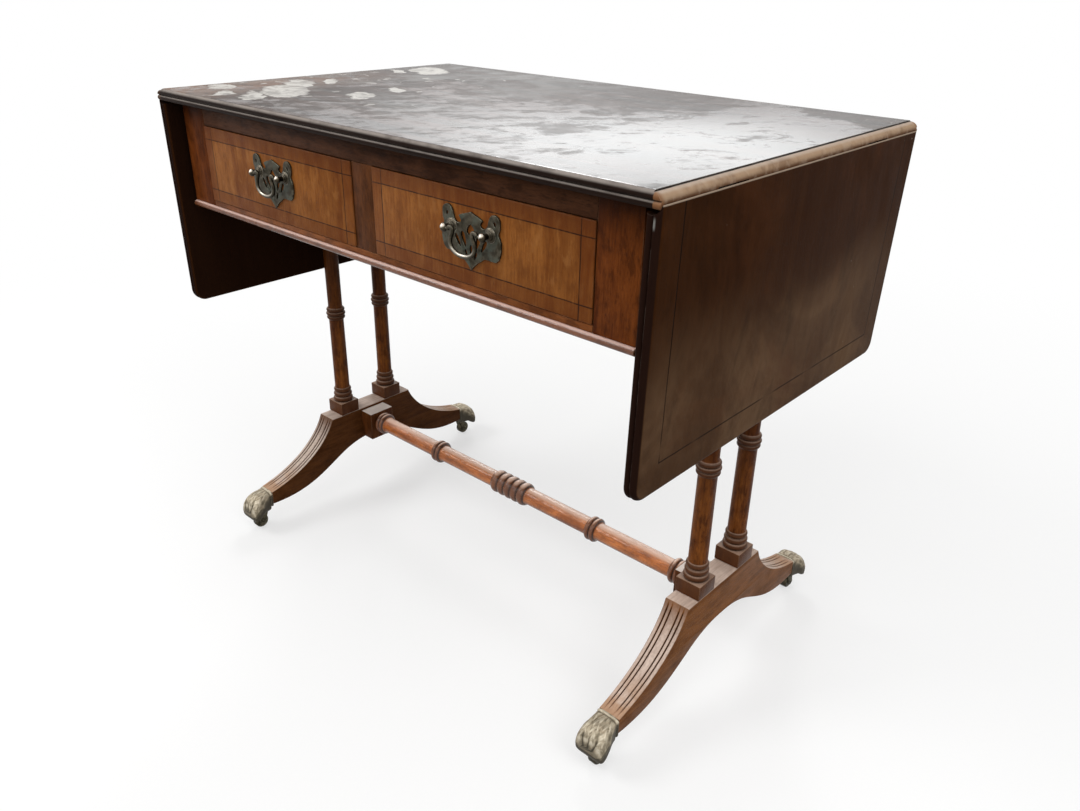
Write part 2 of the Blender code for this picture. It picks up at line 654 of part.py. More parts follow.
def plate_outline():
    """Outline of a bat-wing back plate about its middle, from half of it as shares of the size."""
    w, h = HANDLE_WIDTH / 2, HANDLE_HEIGHT / 2
    curves = (
        ((0.00, 0.86), (0.20, 0.86), (0.36, 0.98), (0.45, 0.66), 4),
        ((0.50, 0.48), (0.60, 0.36), (0.74, 0.50), (0.70, 0.86), 4),
        ((0.78, 1.02), (0.98, 0.98), (1.04, 0.66), (0.95, 0.36), 4),
        ((0.90, 0.24), (1.06, 0.10), (1.02, -0.22), (0.92, -0.42), 4),
        ((0.82, -0.58), (0.66, -0.62), (0.50, -0.50), (0.42, -0.56), 3),
        ((0.34, -0.66), (0.22, -0.70), (0.10, -0.84), (0.00, -1.00), 3),
    )
    half = [(w * x, h * z) for curve in curves for x, z in bezier(*curve)]
    return half + [(-x, z) for x, z in reversed(half[1:-1])]


def bail_path():
    """Middle line of a swan-neck bail as (x, z) about its axis, from post to post."""
    x = POST_SPREAD / 2
    d = BAIL_DROP
    half = [(x + 0.5 * POST_RADIUS, 0.0), (x - POST_RADIUS - 0.0004, 0.0)]
    half += bezier((x - POST_RADIUS - 0.0012, 0.0), (x - 0.0088, 0.0004), (x - 0.0085, -0.25 * d),
                   (x - 0.0060, -0.42 * d), 5)
    half += bezier((x - 0.0050, -0.50 * d), (x - 0.0035, -0.80 * d), (0.45 * x, -0.98 * d), (0.0, -d), 6)
    return half + [(-a, z) for a, z in reversed(half[:-1])]


def tube(path, radii, sides=8):
    """Round tube along a flat (x, z) path, about its axis at y = 0."""
    rings = []
    for i, (x, z) in enumerate(path):
        before, after = path[max(i - 1, 0)], path[min(i + 1, len(path) - 1)]
        along = Vector((after[0] - before[0], after[1] - before[1])).normalized()
        ring = []
        for k in range(sides):
            angle = 2 * math.pi * (k + 0.5) / sides
            out, y = radii[i] * math.cos(angle), radii[i] * math.sin(angle)
            ring.append((x - along.y * out, y, z + along.x * out))
        rings.append(ring)
    return loft(rings)


def build_handle(label, slide):
    """Back plate with its two posts and the bail between them; the slide empty is on the drawer face."""
    face = -FIT
    plate = prism(plate_outline(), "Y", face - HANDLE_PLATE, face)
    handle = add_piece(f"handle_plate_{label}", plate, AGED_BRASS, parent=slide, smooth=True)
    head = face - HANDLE_PLATE - POST_REACH
    root = face - 0.5 * HANDLE_PLATE
    nut = DRAWER_FRONT + FIT
    for station in (-1, 1):
        centre = (station * POST_SPREAD / 2, 0, POST_RISE)
        knob = ((0.4, -0.8), (0.85, -0.66), (1.0, -0.3), (1.0, 0.5), (0.75, 0.8), (0.7, 1.3))
        post = [(POST_RADIUS * radius, head + POST_RADIUS * along) for radius, along in knob]
        post += [(1.5 * POST_RADIUS, face - HANDLE_PLATE - 0.0008), (1.6 * POST_RADIUS, root)]
        post += [(SHANK_RADIUS, root + 0.0001), (SHANK_RADIUS, nut)]
        post += [(NUT_RADIUS, nut + 0.0001), (NUT_RADIUS, nut + NUT_THICK)]
        join(handle, turned(post, "Y", centre, 10))
        eye = sorted(station * (POST_SPREAD / 2 + shift * POST_RADIUS) for shift in (-1.5, 0.7))
        cut(handle, rod(BAIL_PIN + RUN_CLEAR, *eye, "X", (0, head, POST_RISE), 10))
    path = bail_path()
    radii = [BAIL_PIN, BAIL_PIN] + [BAIL_RADIUS] * (len(path) - 4) + [BAIL_PIN, BAIL_PIN]
    add_piece(f"bail_{label}", tube(path, radii), AGED_BRASS, (0, head, POST_RISE), slide, smooth=True)


def trestle_outline(groove):
    """Outline (y, z) of a trestle end; groove lowers the upper face of the legs between their ends."""
    flat = TRESTLE_FLAT / 2
    end_high = LEG_END_LOW + LEG_END
    fall = TRESTLE_TOP - end_high
    run = LEG_REACH - flat
    upper = bezier((flat, TRESTLE_TOP), (flat + 0.125 * run, TRESTLE_TOP - 0.42 * fall),
                   (flat + 0.45 * run, TRESTLE_TOP - 0.83 * fall), (LEG_REACH, end_high), 10)
    lowered = []
    for i, (y, z) in enumerate(upper):
        depth = groove if 0 < i < len(upper) - 1 else 0.0
        lowered.append((y - 0.6 * depth, z - 0.8 * depth))
    crown = TRESTLE_TOP - TRESTLE_DEPTH
    under = bezier((0.026 * LEG_REACH, crown), (0.405 * LEG_REACH, crown),
                   (0.485 * LEG_REACH, LEG_END_LOW - 0.0055), (LEG_REACH, LEG_END_LOW), 10)
    right = lowered + list(reversed(under))
    return right + [(-y, z) for y, z in reversed(right)]


def leg_taper(y):
    """Share of the full width at a distance y from the middle of a trestle."""
    flat = TRESTLE_FLAT / 2
    along = max(0.0, (abs(y) - flat) / (LEG_REACH - flat))
    return 1 - along * (1 - LEG_END_WIDTH / TRESTLE_THICK)


def build_trestle(label, side):
    """Trestle end with two sabre legs, reeded along their upper faces."""
    stations = [(-TRESTLE_THICK / 2, 0.0)]
    for middle in (-REED_OUTER, -REED_INNER, REED_INNER, REED_OUTER):
        stations += [(middle - REED_HALF, 0.0), (middle, REED_DEPTH), (middle + REED_HALF, 0.0)]
    stations.append((TRESTLE_THICK / 2, 0.0))
    rings = [[(x * leg_taper(y), y, z) for y, z in trestle_outline(groove)] for x, groove in stations]
    origin = (side * COLUMN_X, 0, 0)
    trestle = add_piece(f"trestle_{label}", loft(rings), RED_MAHOGANY, origin)
    for station in (-1, 1):
        centre = (0, station * COLUMN_Y, 0)
        low = TRESTLE_TOP - DOWEL_LENGTH - FIT
        cut(trestle, rod(DOWEL_RADIUS + FIT, low, TRESTLE_TOP + 0.002, "Z", centre, 12))
        y0, y1 = sorted((station * (LEG_REACH - 0.004), station * (LEG_REACH + TENON_LENGTH)))
        half = TENON_WIDTH / 2
        join(trestle, block((-half, y0, TENON_LOW), (half, y1, TENON_LOW + TENON_DEPTH)))


def column_profile():
    """Turned profile of a column (radius, height above the plinth), with a dowel at each end."""
    length = COLUMN_TOP - PLINTH_LOW - PLINTH_HEIGHT
    profile = [(DOWEL_RADIUS, -PLINTH_HEIGHT - DOWEL_LENGTH), (DOWEL_RADIUS, -0.4 * PLINTH_HEIGHT)]
    profile += [(0.8 * FOOT_REED_RADIUS, -0.39 * PLINTH_HEIGHT)]
    start = 0.0
    for step in range(3):
        outer = FOOT_REED_RADIUS - 0.0007 * step
        profile += reeds(start, FOOT_REED_HEIGHT, 1, outer - 0.0018, outer)
        start += FOOT_REED_HEIGHT
    profile.append((SHAFT_RADIUS, start + 0.001))
    collar = COLLAR_HEIGHT - 1.5 * COLLAR_REED
    profile.append((SHAFT_RADIUS - 0.0003, collar - 0.0025))
    for step in range(3):
        outer = COLLAR_RADIUS - 0.0006 * abs(step - 1)
        profile += reeds(collar, COLLAR_REED, 1, outer - 0.0016, outer)
        collar += COLLAR_REED
    profile += [(SHAFT_RADIUS - 0.0006, collar + 0.001), (SHAFT_RADIUS - 0.0003, length)]
    profile += [(DOWEL_RADIUS, length + 0.0001), (DOWEL_RADIUS, length + DOWEL_LENGTH)]
    return profile


def build_columns():
    """Four turned columns on square plinths."""
    half = PLINTH_WIDTH / 2
    for label, side in (("left", -1), ("right", 1)):
        for place, station in (("front", -1), ("back", 1)):
            origin = (side * COLUMN_X, station * COLUMN_Y, PLINTH_LOW + PLINTH_HEIGHT)
            shape = turned(column_profile())
            column = add_piece(f"column_{label}_{place}", shape, RED_MAHOGANY, origin, smooth=True)
            join(column, block((-half, -half, -PLINTH_HEIGHT), (half, half, 0.0)))


def stretcher_profile():
    """Turned profile of the stretcher (radius, x), from end to end."""
    end = BLOCK_FACE - FIT
    dip = RING_RADIUS - 0.0022
    profile = [(STRETCHER_TENON, -end - STRETCHER_TENON_LENGTH), (STRETCHER_TENON, -end - 0.0001)]
    profile += reeds(-end, RING_WIDTH, 2, dip, RING_RADIUS)
    profile.append((STRETCHER_RADIUS, -end + 2 * RING_WIDTH + 0.001))
    groups = (
        (-STRETCHER_COLLAR_AT, 2, RING_WIDTH),
        (0.0, CENTRE_REEDS, CENTRE_REED_WIDTH),
        (STRETCHER_COLLAR_AT, 2, RING_WIDTH),
    )
    for middle, count, width in groups:
        start = middle - count * width / 2
        profile.append((STRETCHER_RADIUS, start - 0.001))
        profile += reeds(start, width, count, dip, RING_RADIUS)
        profile.append((STRETCHER_RADIUS, start + count * width + 0.001))
    profile.append((STRETCHER_RADIUS, end - 2 * RING_WIDTH - 0.001))
    profile += reeds(end - 2 * RING_WIDTH, RING_WIDTH, 2, dip, RING_RADIUS)
    profile += [(STRETCHER_TENON, end + 0.0001), (STRETCHER_TENON, end + STRETCHER_TENON_LENGTH)]
    return profile


def build_stretcher():
    """Turned stretcher with a block at each end."""
    shape = turned(stretcher_profile(), "X")
    add_piece("stretcher", shape, RED_MAHOGANY, (0, 0, STRETCHER_Z), smooth=True)
    high = TRESTLE_TOP - BLOCK_DROP
    for label, side in (("left", -1), ("right", 1)):
        x0, x1 = sorted((side * BLOCK_FACE, side * (BLOCK_FACE + BLOCK_THICK)))
        shape = block((x0, -BLOCK_WIDTH / 2, high - BLOCK_HEIGHT), (x1, BLOCK_WIDTH / 2, high))
        piece = add_piece(f"stretcher_block_{label}", shape, RED_MAHOGANY)
        bore = sorted((side * (BLOCK_FACE - 0.002), side * (BLOCK_FACE + STRETCHER_TENON_LENGTH + FIT)))
        cut(piece, rod(STRETCHER_TENON + FIT, *bore, "X", (0, 0, STRETCHER_Z)))


def paw_section(along, half, low, flank, high, lobes):
    """Ring across a paw: flank is the lower edge at the sides, lobes the depth between the toes."""
    points = []
    steps = 12
    for i in range(steps + 1):
        share = 2 * i / steps - 1
        dip = lobes * abs(math.cos(math.pi * (share + 1)))
        points.append((half * share, along, high - 0.22 * half * share ** 4 - dip))
    points += [(half, along, flank), (0.58 * half, along, low)]
    points += [(-0.58 * half, along, low), (-half, along, flank)]
    return points


def paw_shape():
    """Brass paw drawn with its back at y = 0 and its toes towards +y."""
    neck = LEG_END_WIDTH / 2 + PAW_BAND
    toe = PAW_WIDTH / 2
    high = LEG_END_LOW + LEG_END + 2 * PAW_BAND
    under = PAW_UNDER
    heel = LEG_END_LOW - PAW_BAND
    sole = under - TOE_DROP
    front = PAW_LENGTH - TOE_START
    stations = (
        (0.0, neck, heel - 0.003, heel, high, 0.0),
        (0.0022, neck, heel - 0.003, heel, high, 0.0),
        (0.0034, neck - 0.0006, under, heel - 0.001, high - 0.0010, 0.0),
        (0.55 * TOE_START, neck + 0.0009, under, heel - 0.002, high - 0.0012, 0.0004),
        (0.93 * TOE_START, toe - 0.0006, under, heel - 0.0042, high - 0.0024, 0.0010),
        (TOE_START + 0.35 * front, toe, sole + 0.0016, sole + 0.0046, high - 0.0056, 0.0016),
        (TOE_START + 0.68 * front, 0.955 * toe, sole, sole + 0.0026, high - 0.0092, 0.0018),
        (TOE_START + 0.88 * front, 0.82 * toe, sole + 0.0005, sole + 0.0036, high - 0.0134, 0.0016),
        (PAW_LENGTH, 0.58 * toe, sole + 0.0030, sole + 0.0055, high - 0.0182, 0.0008),
    )
    return loft([paw_section(*station) for station in stations])


def place_foot(shape, station):
    """Point a foot drawn towards +y to the front or the back of the table."""
    for vertex in shape.verts:
        vertex.co.y *= station
    return shape


def build_foot(label, side, station):
    """Paw, swivelling horn and wheel under one leg."""
    origin = (side * COLUMN_X, station * (LEG_REACH + FIT), 0)
    paw = add_piece(f"paw_{label}", place_foot(paw_shape(), station), PALE_BRASS, origin, smooth=True)
    half = TENON_WIDTH / 2 + FIT
    roof = TENON_LOW + TENON_DEPTH + FIT
    pocket = block((-half, -0.002, TENON_LOW - FIT), (half, TENON_LENGTH + FIT, roof))
    cut(paw, place_foot(pocket, station))
    swivel = (0, station * (SWIVEL_IN - FIT), 0)
    hole_top = CROWN_TOP + PIVOT_LENGTH + FIT
    cut(paw, rod(PIVOT_RADIUS + RUN_CLEAR, PAW_UNDER - 0.002, hole_top, "Z", swivel, 10))

    pivot = (side * COLUMN_X, station * SWIVEL_Y, 0)
    axis = add_axis(f"castor_{label}_axis", pivot)
    plate_low = CROWN_TOP - CROWN_PLATE
    profile = [(CROWN_RADIUS, plate_low), (CROWN_RADIUS, CROWN_TOP)]
    profile += [(PIVOT_RADIUS, CROWN_TOP + 0.0001), (PIVOT_RADIUS, CROWN_TOP + PIVOT_LENGTH)]
    horn = add_piece(f"castor_horn_{label}", turned(profile, sides=16), AGED_BRASS, parent=axis, smooth=True)
    axle_z = WHEEL_DIAMETER / 2
    inner = WHEEL_WIDTH / 2 + CHEEK_GAP
    top = plate_low + 0.5 * CROWN_PLATE
    trail = station * TRAIL
    cheek = [(trail + y, axle_z + z) for y, z in arc((0, 0), CHEEK_END, 180, 360, 6)]
    wide = 0.55 * CROWN_RADIUS
    cheek += [(wide, top), (-wide, top)]
    for flank in (-1, 1):
        x0, x1 = sorted((flank * inner, flank * (inner + CHEEK_THICK)))
        join(horn, prism(cheek, "X", x0, x1))
    axle = inner + 0.5 * CHEEK_THICK
    join(horn, rod(AXLE_RADIUS, -axle, axle, "X", (0, trail, axle_z), 10))
    build_wheel(label, (0, trail, axle_z), axis)


def build_wheel(label, origin, axis):
    """Small brass wheel with rounded rims on its axle."""
    sides = 20
    radius = WHEEL_DIAMETER / 2 / math.cos(math.pi / sides)
    half = WHEEL_WIDTH / 2
    ease = 0.0010
    profile = [(radius - ease, -half), (radius, -half + ease), (radius, half - ease), (radius - ease, half)]
    shape = turned(profile, "X", sides=sides)
    wheel = add_piece(f"castor_wheel_{label}", shape, AGED_BRASS, origin, axis, smooth=True)
    cut(wheel, rod(AXLE_RADIUS + RUN_CLEAR, -half - 0.002, half + 0.002, "X", sides=10))


def build_base():
    """Trestle ends, columns, stretcher and feet."""
    for label, side in (("left", -1), ("right", 1)):
        build_trestle(label, side)
        for place, station in (("front", -1), ("back", 1)):
            build_foot(f"{label}_{place}", side, station)
    build_columns()
    build_stretcher()


def main():
    clear_scene()
    build_top()
    build_leaves()
    build_frieze_front()
    build_frieze_frame()
    for label, side in (("left", -1), ("right", 1)):
        build_drawer(label, side)
    build_base()


main()
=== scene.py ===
"""Sofa-style coffee table: dressed pieces, worn finishes, soft studio light and the camera.

Metres, +Z up. The drawers face -Y and the leaves hang at -X and +X.
"""
import math

import bmesh
import bpy
from mathutils import Matrix, Vector


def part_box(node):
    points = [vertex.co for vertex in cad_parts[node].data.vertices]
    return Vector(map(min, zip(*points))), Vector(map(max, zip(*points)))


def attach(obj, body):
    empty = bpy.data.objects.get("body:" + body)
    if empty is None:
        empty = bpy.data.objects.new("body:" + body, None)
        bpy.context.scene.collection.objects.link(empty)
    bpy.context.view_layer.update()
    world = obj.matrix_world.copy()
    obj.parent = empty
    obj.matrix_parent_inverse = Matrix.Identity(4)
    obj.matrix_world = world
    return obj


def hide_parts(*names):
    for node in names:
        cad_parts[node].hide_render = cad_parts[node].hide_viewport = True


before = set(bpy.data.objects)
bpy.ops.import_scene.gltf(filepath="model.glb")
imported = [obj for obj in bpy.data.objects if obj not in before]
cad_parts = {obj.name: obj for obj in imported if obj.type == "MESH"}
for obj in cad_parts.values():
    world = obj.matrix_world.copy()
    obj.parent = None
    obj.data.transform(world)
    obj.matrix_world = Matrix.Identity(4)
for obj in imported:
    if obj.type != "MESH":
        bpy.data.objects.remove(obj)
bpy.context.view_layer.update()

# Table sizes, as in the solids
FIT = 0.0003
HEIGHT = 0.527
RULE_X = 0.306
TOP_DEPTH = 0.400
TOP_THICK = 0.012
LEAF_LENGTH = 0.2186
LEAF_CORNER = 0.013
LEAF_HANG = 1.0
RULE_RADIUS = 0.0068
RULE_FILLET = 0.0012
RULE_CLEAR = 0.0004
LIP_CLEAR = 0.0003
EDGE_ROUND = 0.0046
EDGE_GROOVE = 0.0017
EDGE_BEAD = 0.0028
HINGE_Y = 0.115
HINGE_WIDTH = 0.038
HINGE_BARREL = 0.0024
HINGE_PLATE = 0.0020
HINGE_FIXED_REACH = 0.026
HINGE_FLAP_REACH = 0.045
HINGE_COMB = 0.0050
DRAWER_X = 0.1337
DRAWER_HALF = 0.1194
DRAWER_FACE = -0.1865
DRAWER_FRONT = 0.015
OPEN_MID = 0.45825
HANDLE_WIDTH = 0.062
HANDLE_HEIGHT = 0.048
HANDLE_PLATE = 0.0016
POST_SPREAD = 0.042
POST_RISE = 0.0076
POST_RADIUS = 0.0036
POST_REACH = 0.0086
BAIL_RADIUS = 0.0019
BAIL_PIN = 0.0011
BAIL_DROP = 0.0185
COLUMN_X = 0.274
COLUMN_Y = 0.035
PLINTH_LOW = 0.1141
PLINTH_WIDTH = 0.027
PLINTH_HEIGHT = 0.016
COLUMN_TOP = 0.4082
SHAFT_RADIUS = 0.0093
FOOT_REED_RADIUS = 0.0124
FOOT_REED_HEIGHT = 0.0063
COLLAR_HEIGHT = 0.1205
COLLAR_RADIUS = 0.0118
COLLAR_REED = 0.0050
TRESTLE_THICK = 0.0264
TRESTLE_TOP = 0.1138
TRESTLE_FLAT = 0.127
TRESTLE_DEPTH = 0.0422
LEG_REACH = 0.161
LEG_END = 0.0172
LEG_END_LOW = 0.0300
LEG_END_WIDTH = 0.0226
REED_DEPTH = 0.0012
REED_HALF = 0.0009
REED_INNER = 0.0042
REED_OUTER = 0.0086
STRETCHER_Z = 0.0948
STRETCHER_END = 0.2402
STRETCHER_RADIUS = 0.0098
RING_RADIUS = 0.0136
RING_WIDTH = 0.0062
STRETCHER_COLLAR_AT = 0.124
CENTRE_REED_WIDTH = 0.0104
CENTRE_REEDS = 5
WHEEL_DIAMETER = 0.017
WHEEL_WIDTH = 0.009
TRAIL = 0.0045
SWIVEL_Y = 0.171
CROWN_TOP = 0.0215
CROWN_PLATE = 0.0030
CROWN_RADIUS = 0.0065
CHEEK_THICK = 0.0015
CHEEK_GAP = 0.0004
CHEEK_END = 0.0042
PAW_UNDER = 0.0218
PAW_LENGTH = 0.0295
PAW_WIDTH = 0.0286
PAW_BAND = 0.0005
TOE_DROP = 0.0056
TOE_START = 0.0175

RULE_Z = HEIGHT - RULE_FILLET - RULE_RADIUS
TOP_UNDER = HEIGHT - TOP_THICK
RULE_DROP = RULE_Z - TOP_UNDER
LEAF_FACE = RULE_RADIUS + RULE_FILLET
LEG_END_HIGH = LEG_END_LOW + LEG_END
PAW_NECK = LEG_END_WIDTH / 2 + PAW_BAND
PAW_HIGH = LEG_END_HIGH + 2 * PAW_BAND
PAW_HEEL = LEG_END_LOW - PAW_BAND
SIDES = (("left", -1), ("right", 1))
PLACES = (("front", -1), ("back", 1))

# Details drawn on the pieces
TOP_LIP = 0.0003
OVERRUN = 0.01
CUT_PAST = 0.002
SKIM = 0.001
EASED = 0.0006
EASED_MORE = 0.0008
SHARP_FROM = 35
EDGE_FLAT = 0.0002
GROOVE_STEP = 0.0004
LEAF_STRING_INSET = 0.0265
DRAWER_STRING_INSET = 0.0122
STRING_HALF = 0.00042
PLATE_BEVEL = 0.00035
NUT_RADIUS = 0.0042
NUT_HEIGHT = 0.0030
BOLT_RADIUS = 0.0020
BOLT_END = 0.0006
DRAWER_EASED = 0.0007
FOOT_REED_STEP = 0.0007
FOOT_REED_DIP = 0.0018
COLLAR_REED_STEP = 0.0006
COLLAR_REED_DIP = 0.0016
SHAFT_SLIM = 0.0003
RING_DIP = 0.0022
RING_COVE = 0.001
TOE_WIDER = 1.10
HAIR_ROWS = 9
HAIR_RISE = 0.00115
CLEFT_DEPTH = 0.0011
KNUCKLE_RISE = 0.0006
AXLE_RADIUS = 0.0015
RIVET_RADIUS = 0.0019
RIVET_TIP = 0.0012
CROWN_CHAMFER = 0.0006
STEM_RADIUS = 0.0022
STEM_RISE = 0.0044

# Turn of the table's edge into its groove: inset, and rise above the groove
GROOVE_TURN = ((0.0002, 0.0006), (0.0007, 0.0002))

# Rounded faces of a trestle: inset from the face, and how far the outline is pulled in there
TRESTLE_ROUND = ((0.0, 0.0011), (0.0002, 0.0005), (0.0006, 0.00015), (0.0012, 0.0))

# Places across a groove of a leg, in shares of its half width
GROOVE_SHARES = (1.15, 0.9, 0.6, 0.3, 0.0, -0.3, -0.6, -0.9, -1.15)

# Band at the back of a paw: place along the paw, and swell
BAND_SWELL = ((0.0, -0.0003), (0.0003, 0.0), (0.0009, 0.0001), (0.0018, 0.0), (0.0022, -0.0004),
              (0.0025, -0.0009), (0.0029, -0.0008))

# Where a column's shaft meets its reeds: rise above the shaft, and height from the reeds' end
SHAFT_FOOT = ((0.0002, 0.0006), (0.0, 0.0016))
COLLAR_UNDER = ((-0.0003, -0.0022), (0.0, -0.0006))
COLLAR_OVER = ((-0.0003, 0.0006), (-0.0006, 0.0020))

# Half of a bat-wing plate, as cubic curves in shares of its half width and half height
PLATE_CURVES = (
    ((0.00, 0.90), (0.10, 0.84), (0.27, 0.80), (0.40, 0.72)),
    ((0.41, 0.69), (0.35, 0.62), (0.33, 0.57), (0.35, 0.52)),
    ((0.38, 0.48), (0.46, 0.45), (0.54, 0.48), (0.58, 0.57)),
    ((0.60, 0.64), (0.63, 0.78), (0.66, 0.91), (0.73, 0.96)),
    ((0.83, 0.99), (0.99, 0.94), (1.01, 0.84), (1.00, 0.64)),
    ((0.99, 0.52), (0.94, 0.44), (0.94, 0.37), (0.98, 0.30)),
    ((1.04, 0.14), (1.05, -0.10), (1.02, -0.26), (0.97, -0.40)),
    ((0.87, -0.51), (0.66, -0.53), (0.52, -0.47), (0.42, -0.55)),
    ((0.32, -0.65), (0.22, -0.70), (0.12, -0.82), (0.00, -1.00)),
)

# Piercings of the plate: middle x and z, half width, half height and lean; each pair's other hole is mirrored
PLATE_HOLES = ((0.0, 0.0076, 0.0056, 0.0044, math.pi), (0.0, -0.0088, 0.0020, 0.0048, 0.0))
PLATE_HOLE_PAIRS = (
    (0.0076, -0.0006, 0.0029, 0.0064, -0.32),
    (0.0141, -0.0026, 0.0024, 0.0056, -0.55),
    (0.0050, -0.0116, 0.0016, 0.0034, -0.35),
    (0.0258, 0.0166, 0.0015, 0.0020, 0.3),
)

# Collar of a handle post: share of its radius, and height above the plate
POST_COLLAR = ((0.62, 0.0032), (0.75, 0.0026), (1.10, 0.0022), (1.18, 0.0017), (1.10, 0.0012),
               (1.42, 0.0009), (1.58, 0.0004), (1.60, -0.0004))

# Flakes of the top's polish, on axes turned 35 degrees: middle along and across, half length, half width
FLAKE_ALONG = (0.82, -0.57, 0.0)
FLAKE_ACROSS = (0.57, 0.82, 0.0)
FLAKE_TEAR = 0.034
TOP_FLAKES = (
    (-0.147, -0.279, 0.022, 0.013),
    (-0.099, -0.273, 0.020, 0.009),
    (-0.073, -0.245, 0.032, 0.011),
    (-0.108, -0.215, 0.050, 0.024),
    (-0.167, -0.200, 0.032, 0.016),
    (-0.185, -0.168, 0.027, 0.008),
    (-0.276, -0.048, 0.044, 0.024),
    (-0.274, -0.087, 0.018, 0.007),
    (-0.067, -0.142, 0.030, 0.012),
    (-0.108, -0.104, 0.020, 0.008),
)

# Tones of the woods and their wear, and the painted highlights, sheen and shade laid on them
BARE_WOOD = (0.40, 0.235, 0.135)
SPENT_REED = (0.44, 0.235, 0.120)
TOP_DARK = (0.016, 0.0068, 0.0045)
TOP_LIGHT = (0.066, 0.030, 0.019)
TOP_DULL = (0.066, 0.058, 0.052)
TOP_RUBBED = (0.225, 0.130, 0.085)
TOP_BLOOM = (0.33, 0.335, 0.325)
TOP_SPOT = (0.45, 0.44, 0.42)
TOP_SCRATCH = (0.42, 0.39, 0.36)
TOP_FLAKED = (0.55, 0.528, 0.490)
TOP_FLAKE_RIM = (0.030, 0.018, 0.013)
TOP_ARRIS = (0.50, 0.43, 0.36)
EDGE_DARK = (0.009, 0.0048, 0.0035)
EDGE_LIGHT = (0.026, 0.0130, 0.0090)
EDGE_CREST_HIGHLIGHT = (0.34, 0.295, 0.262)
EDGE_WORN = (0.42, 0.34, 0.28)
EDGE_HOLLOW_SHADE = (0.006, 0.0035, 0.0028)
EDGE_BELOW = (0.040, 0.019, 0.011)
OVOLO_SHADED_BROWN = (0.105, 0.046, 0.021)
OVOLO_TAN = (0.42, 0.280, 0.175)
OVOLO_STAIN = (0.15, 0.075, 0.038)
OVOLO_SCUFF = (0.55, 0.42, 0.31)
OVOLO_TOP_HIGHLIGHT = (0.56, 0.47, 0.40)
OVOLO_END = (0.24, 0.105, 0.045)
LEAF_DARK = (0.0285, 0.0090, 0.0024)
LEAF_LIGHT = (0.054, 0.0190, 0.0060)
LEAF_WARM = (0.072, 0.0235, 0.0072)
LEAF_PAINTED_SHEEN = (0.190, 0.112, 0.062)
LEAF_CLOUD = (0.014, 0.0052, 0.0022)
LEAF_SMEAR = (0.016, 0.0060, 0.0026)
LEAF_STRING = (0.006, 0.0030, 0.0020)
LEAF_RIM = (0.0105, 0.0058, 0.0055)
LEAF_WORN = (0.30, 0.24, 0.20)
LEAF_LIP = (0.46, 0.35, 0.26)
LEAF_CHIP = (0.30, 0.29, 0.27)
LEAF_NICK = (0.42, 0.36, 0.30)
LEAF_BELOW = (0.011, 0.0055, 0.0038)
VENEER_DARK = (0.170, 0.046, 0.0070)
VENEER_LIGHT = (0.345, 0.128, 0.0280)
VENEER_CLOUD = (0.125, 0.034, 0.0062)
VENEER_FLECK = (0.095, 0.026, 0.0052)
VENEER_PALE = (0.40, 0.175, 0.052)
VENEER_BORDER = (0.125, 0.030, 0.0058)
VENEER_SHADED = (0.075, 0.0185, 0.0050)
VENEER_STRING = (0.018, 0.0070, 0.0030)
VENEER_BACK = (0.026, 0.0095, 0.0045)
VENEER_CHIP = (0.50, 0.36, 0.26)
BOX_DARK = (0.21, 0.115, 0.055)
BOX_LIGHT = (0.36, 0.225, 0.120)
FLY_DARK = (0.13, 0.060, 0.026)
FLY_LIGHT = (0.23, 0.120, 0.058)
DUST = (0.42, 0.36, 0.29)
IRON = (0.20, 0.18, 0.155)
IRON_ARRIS = (0.34, 0.31, 0.27)
RUST = (0.115, 0.055, 0.028)

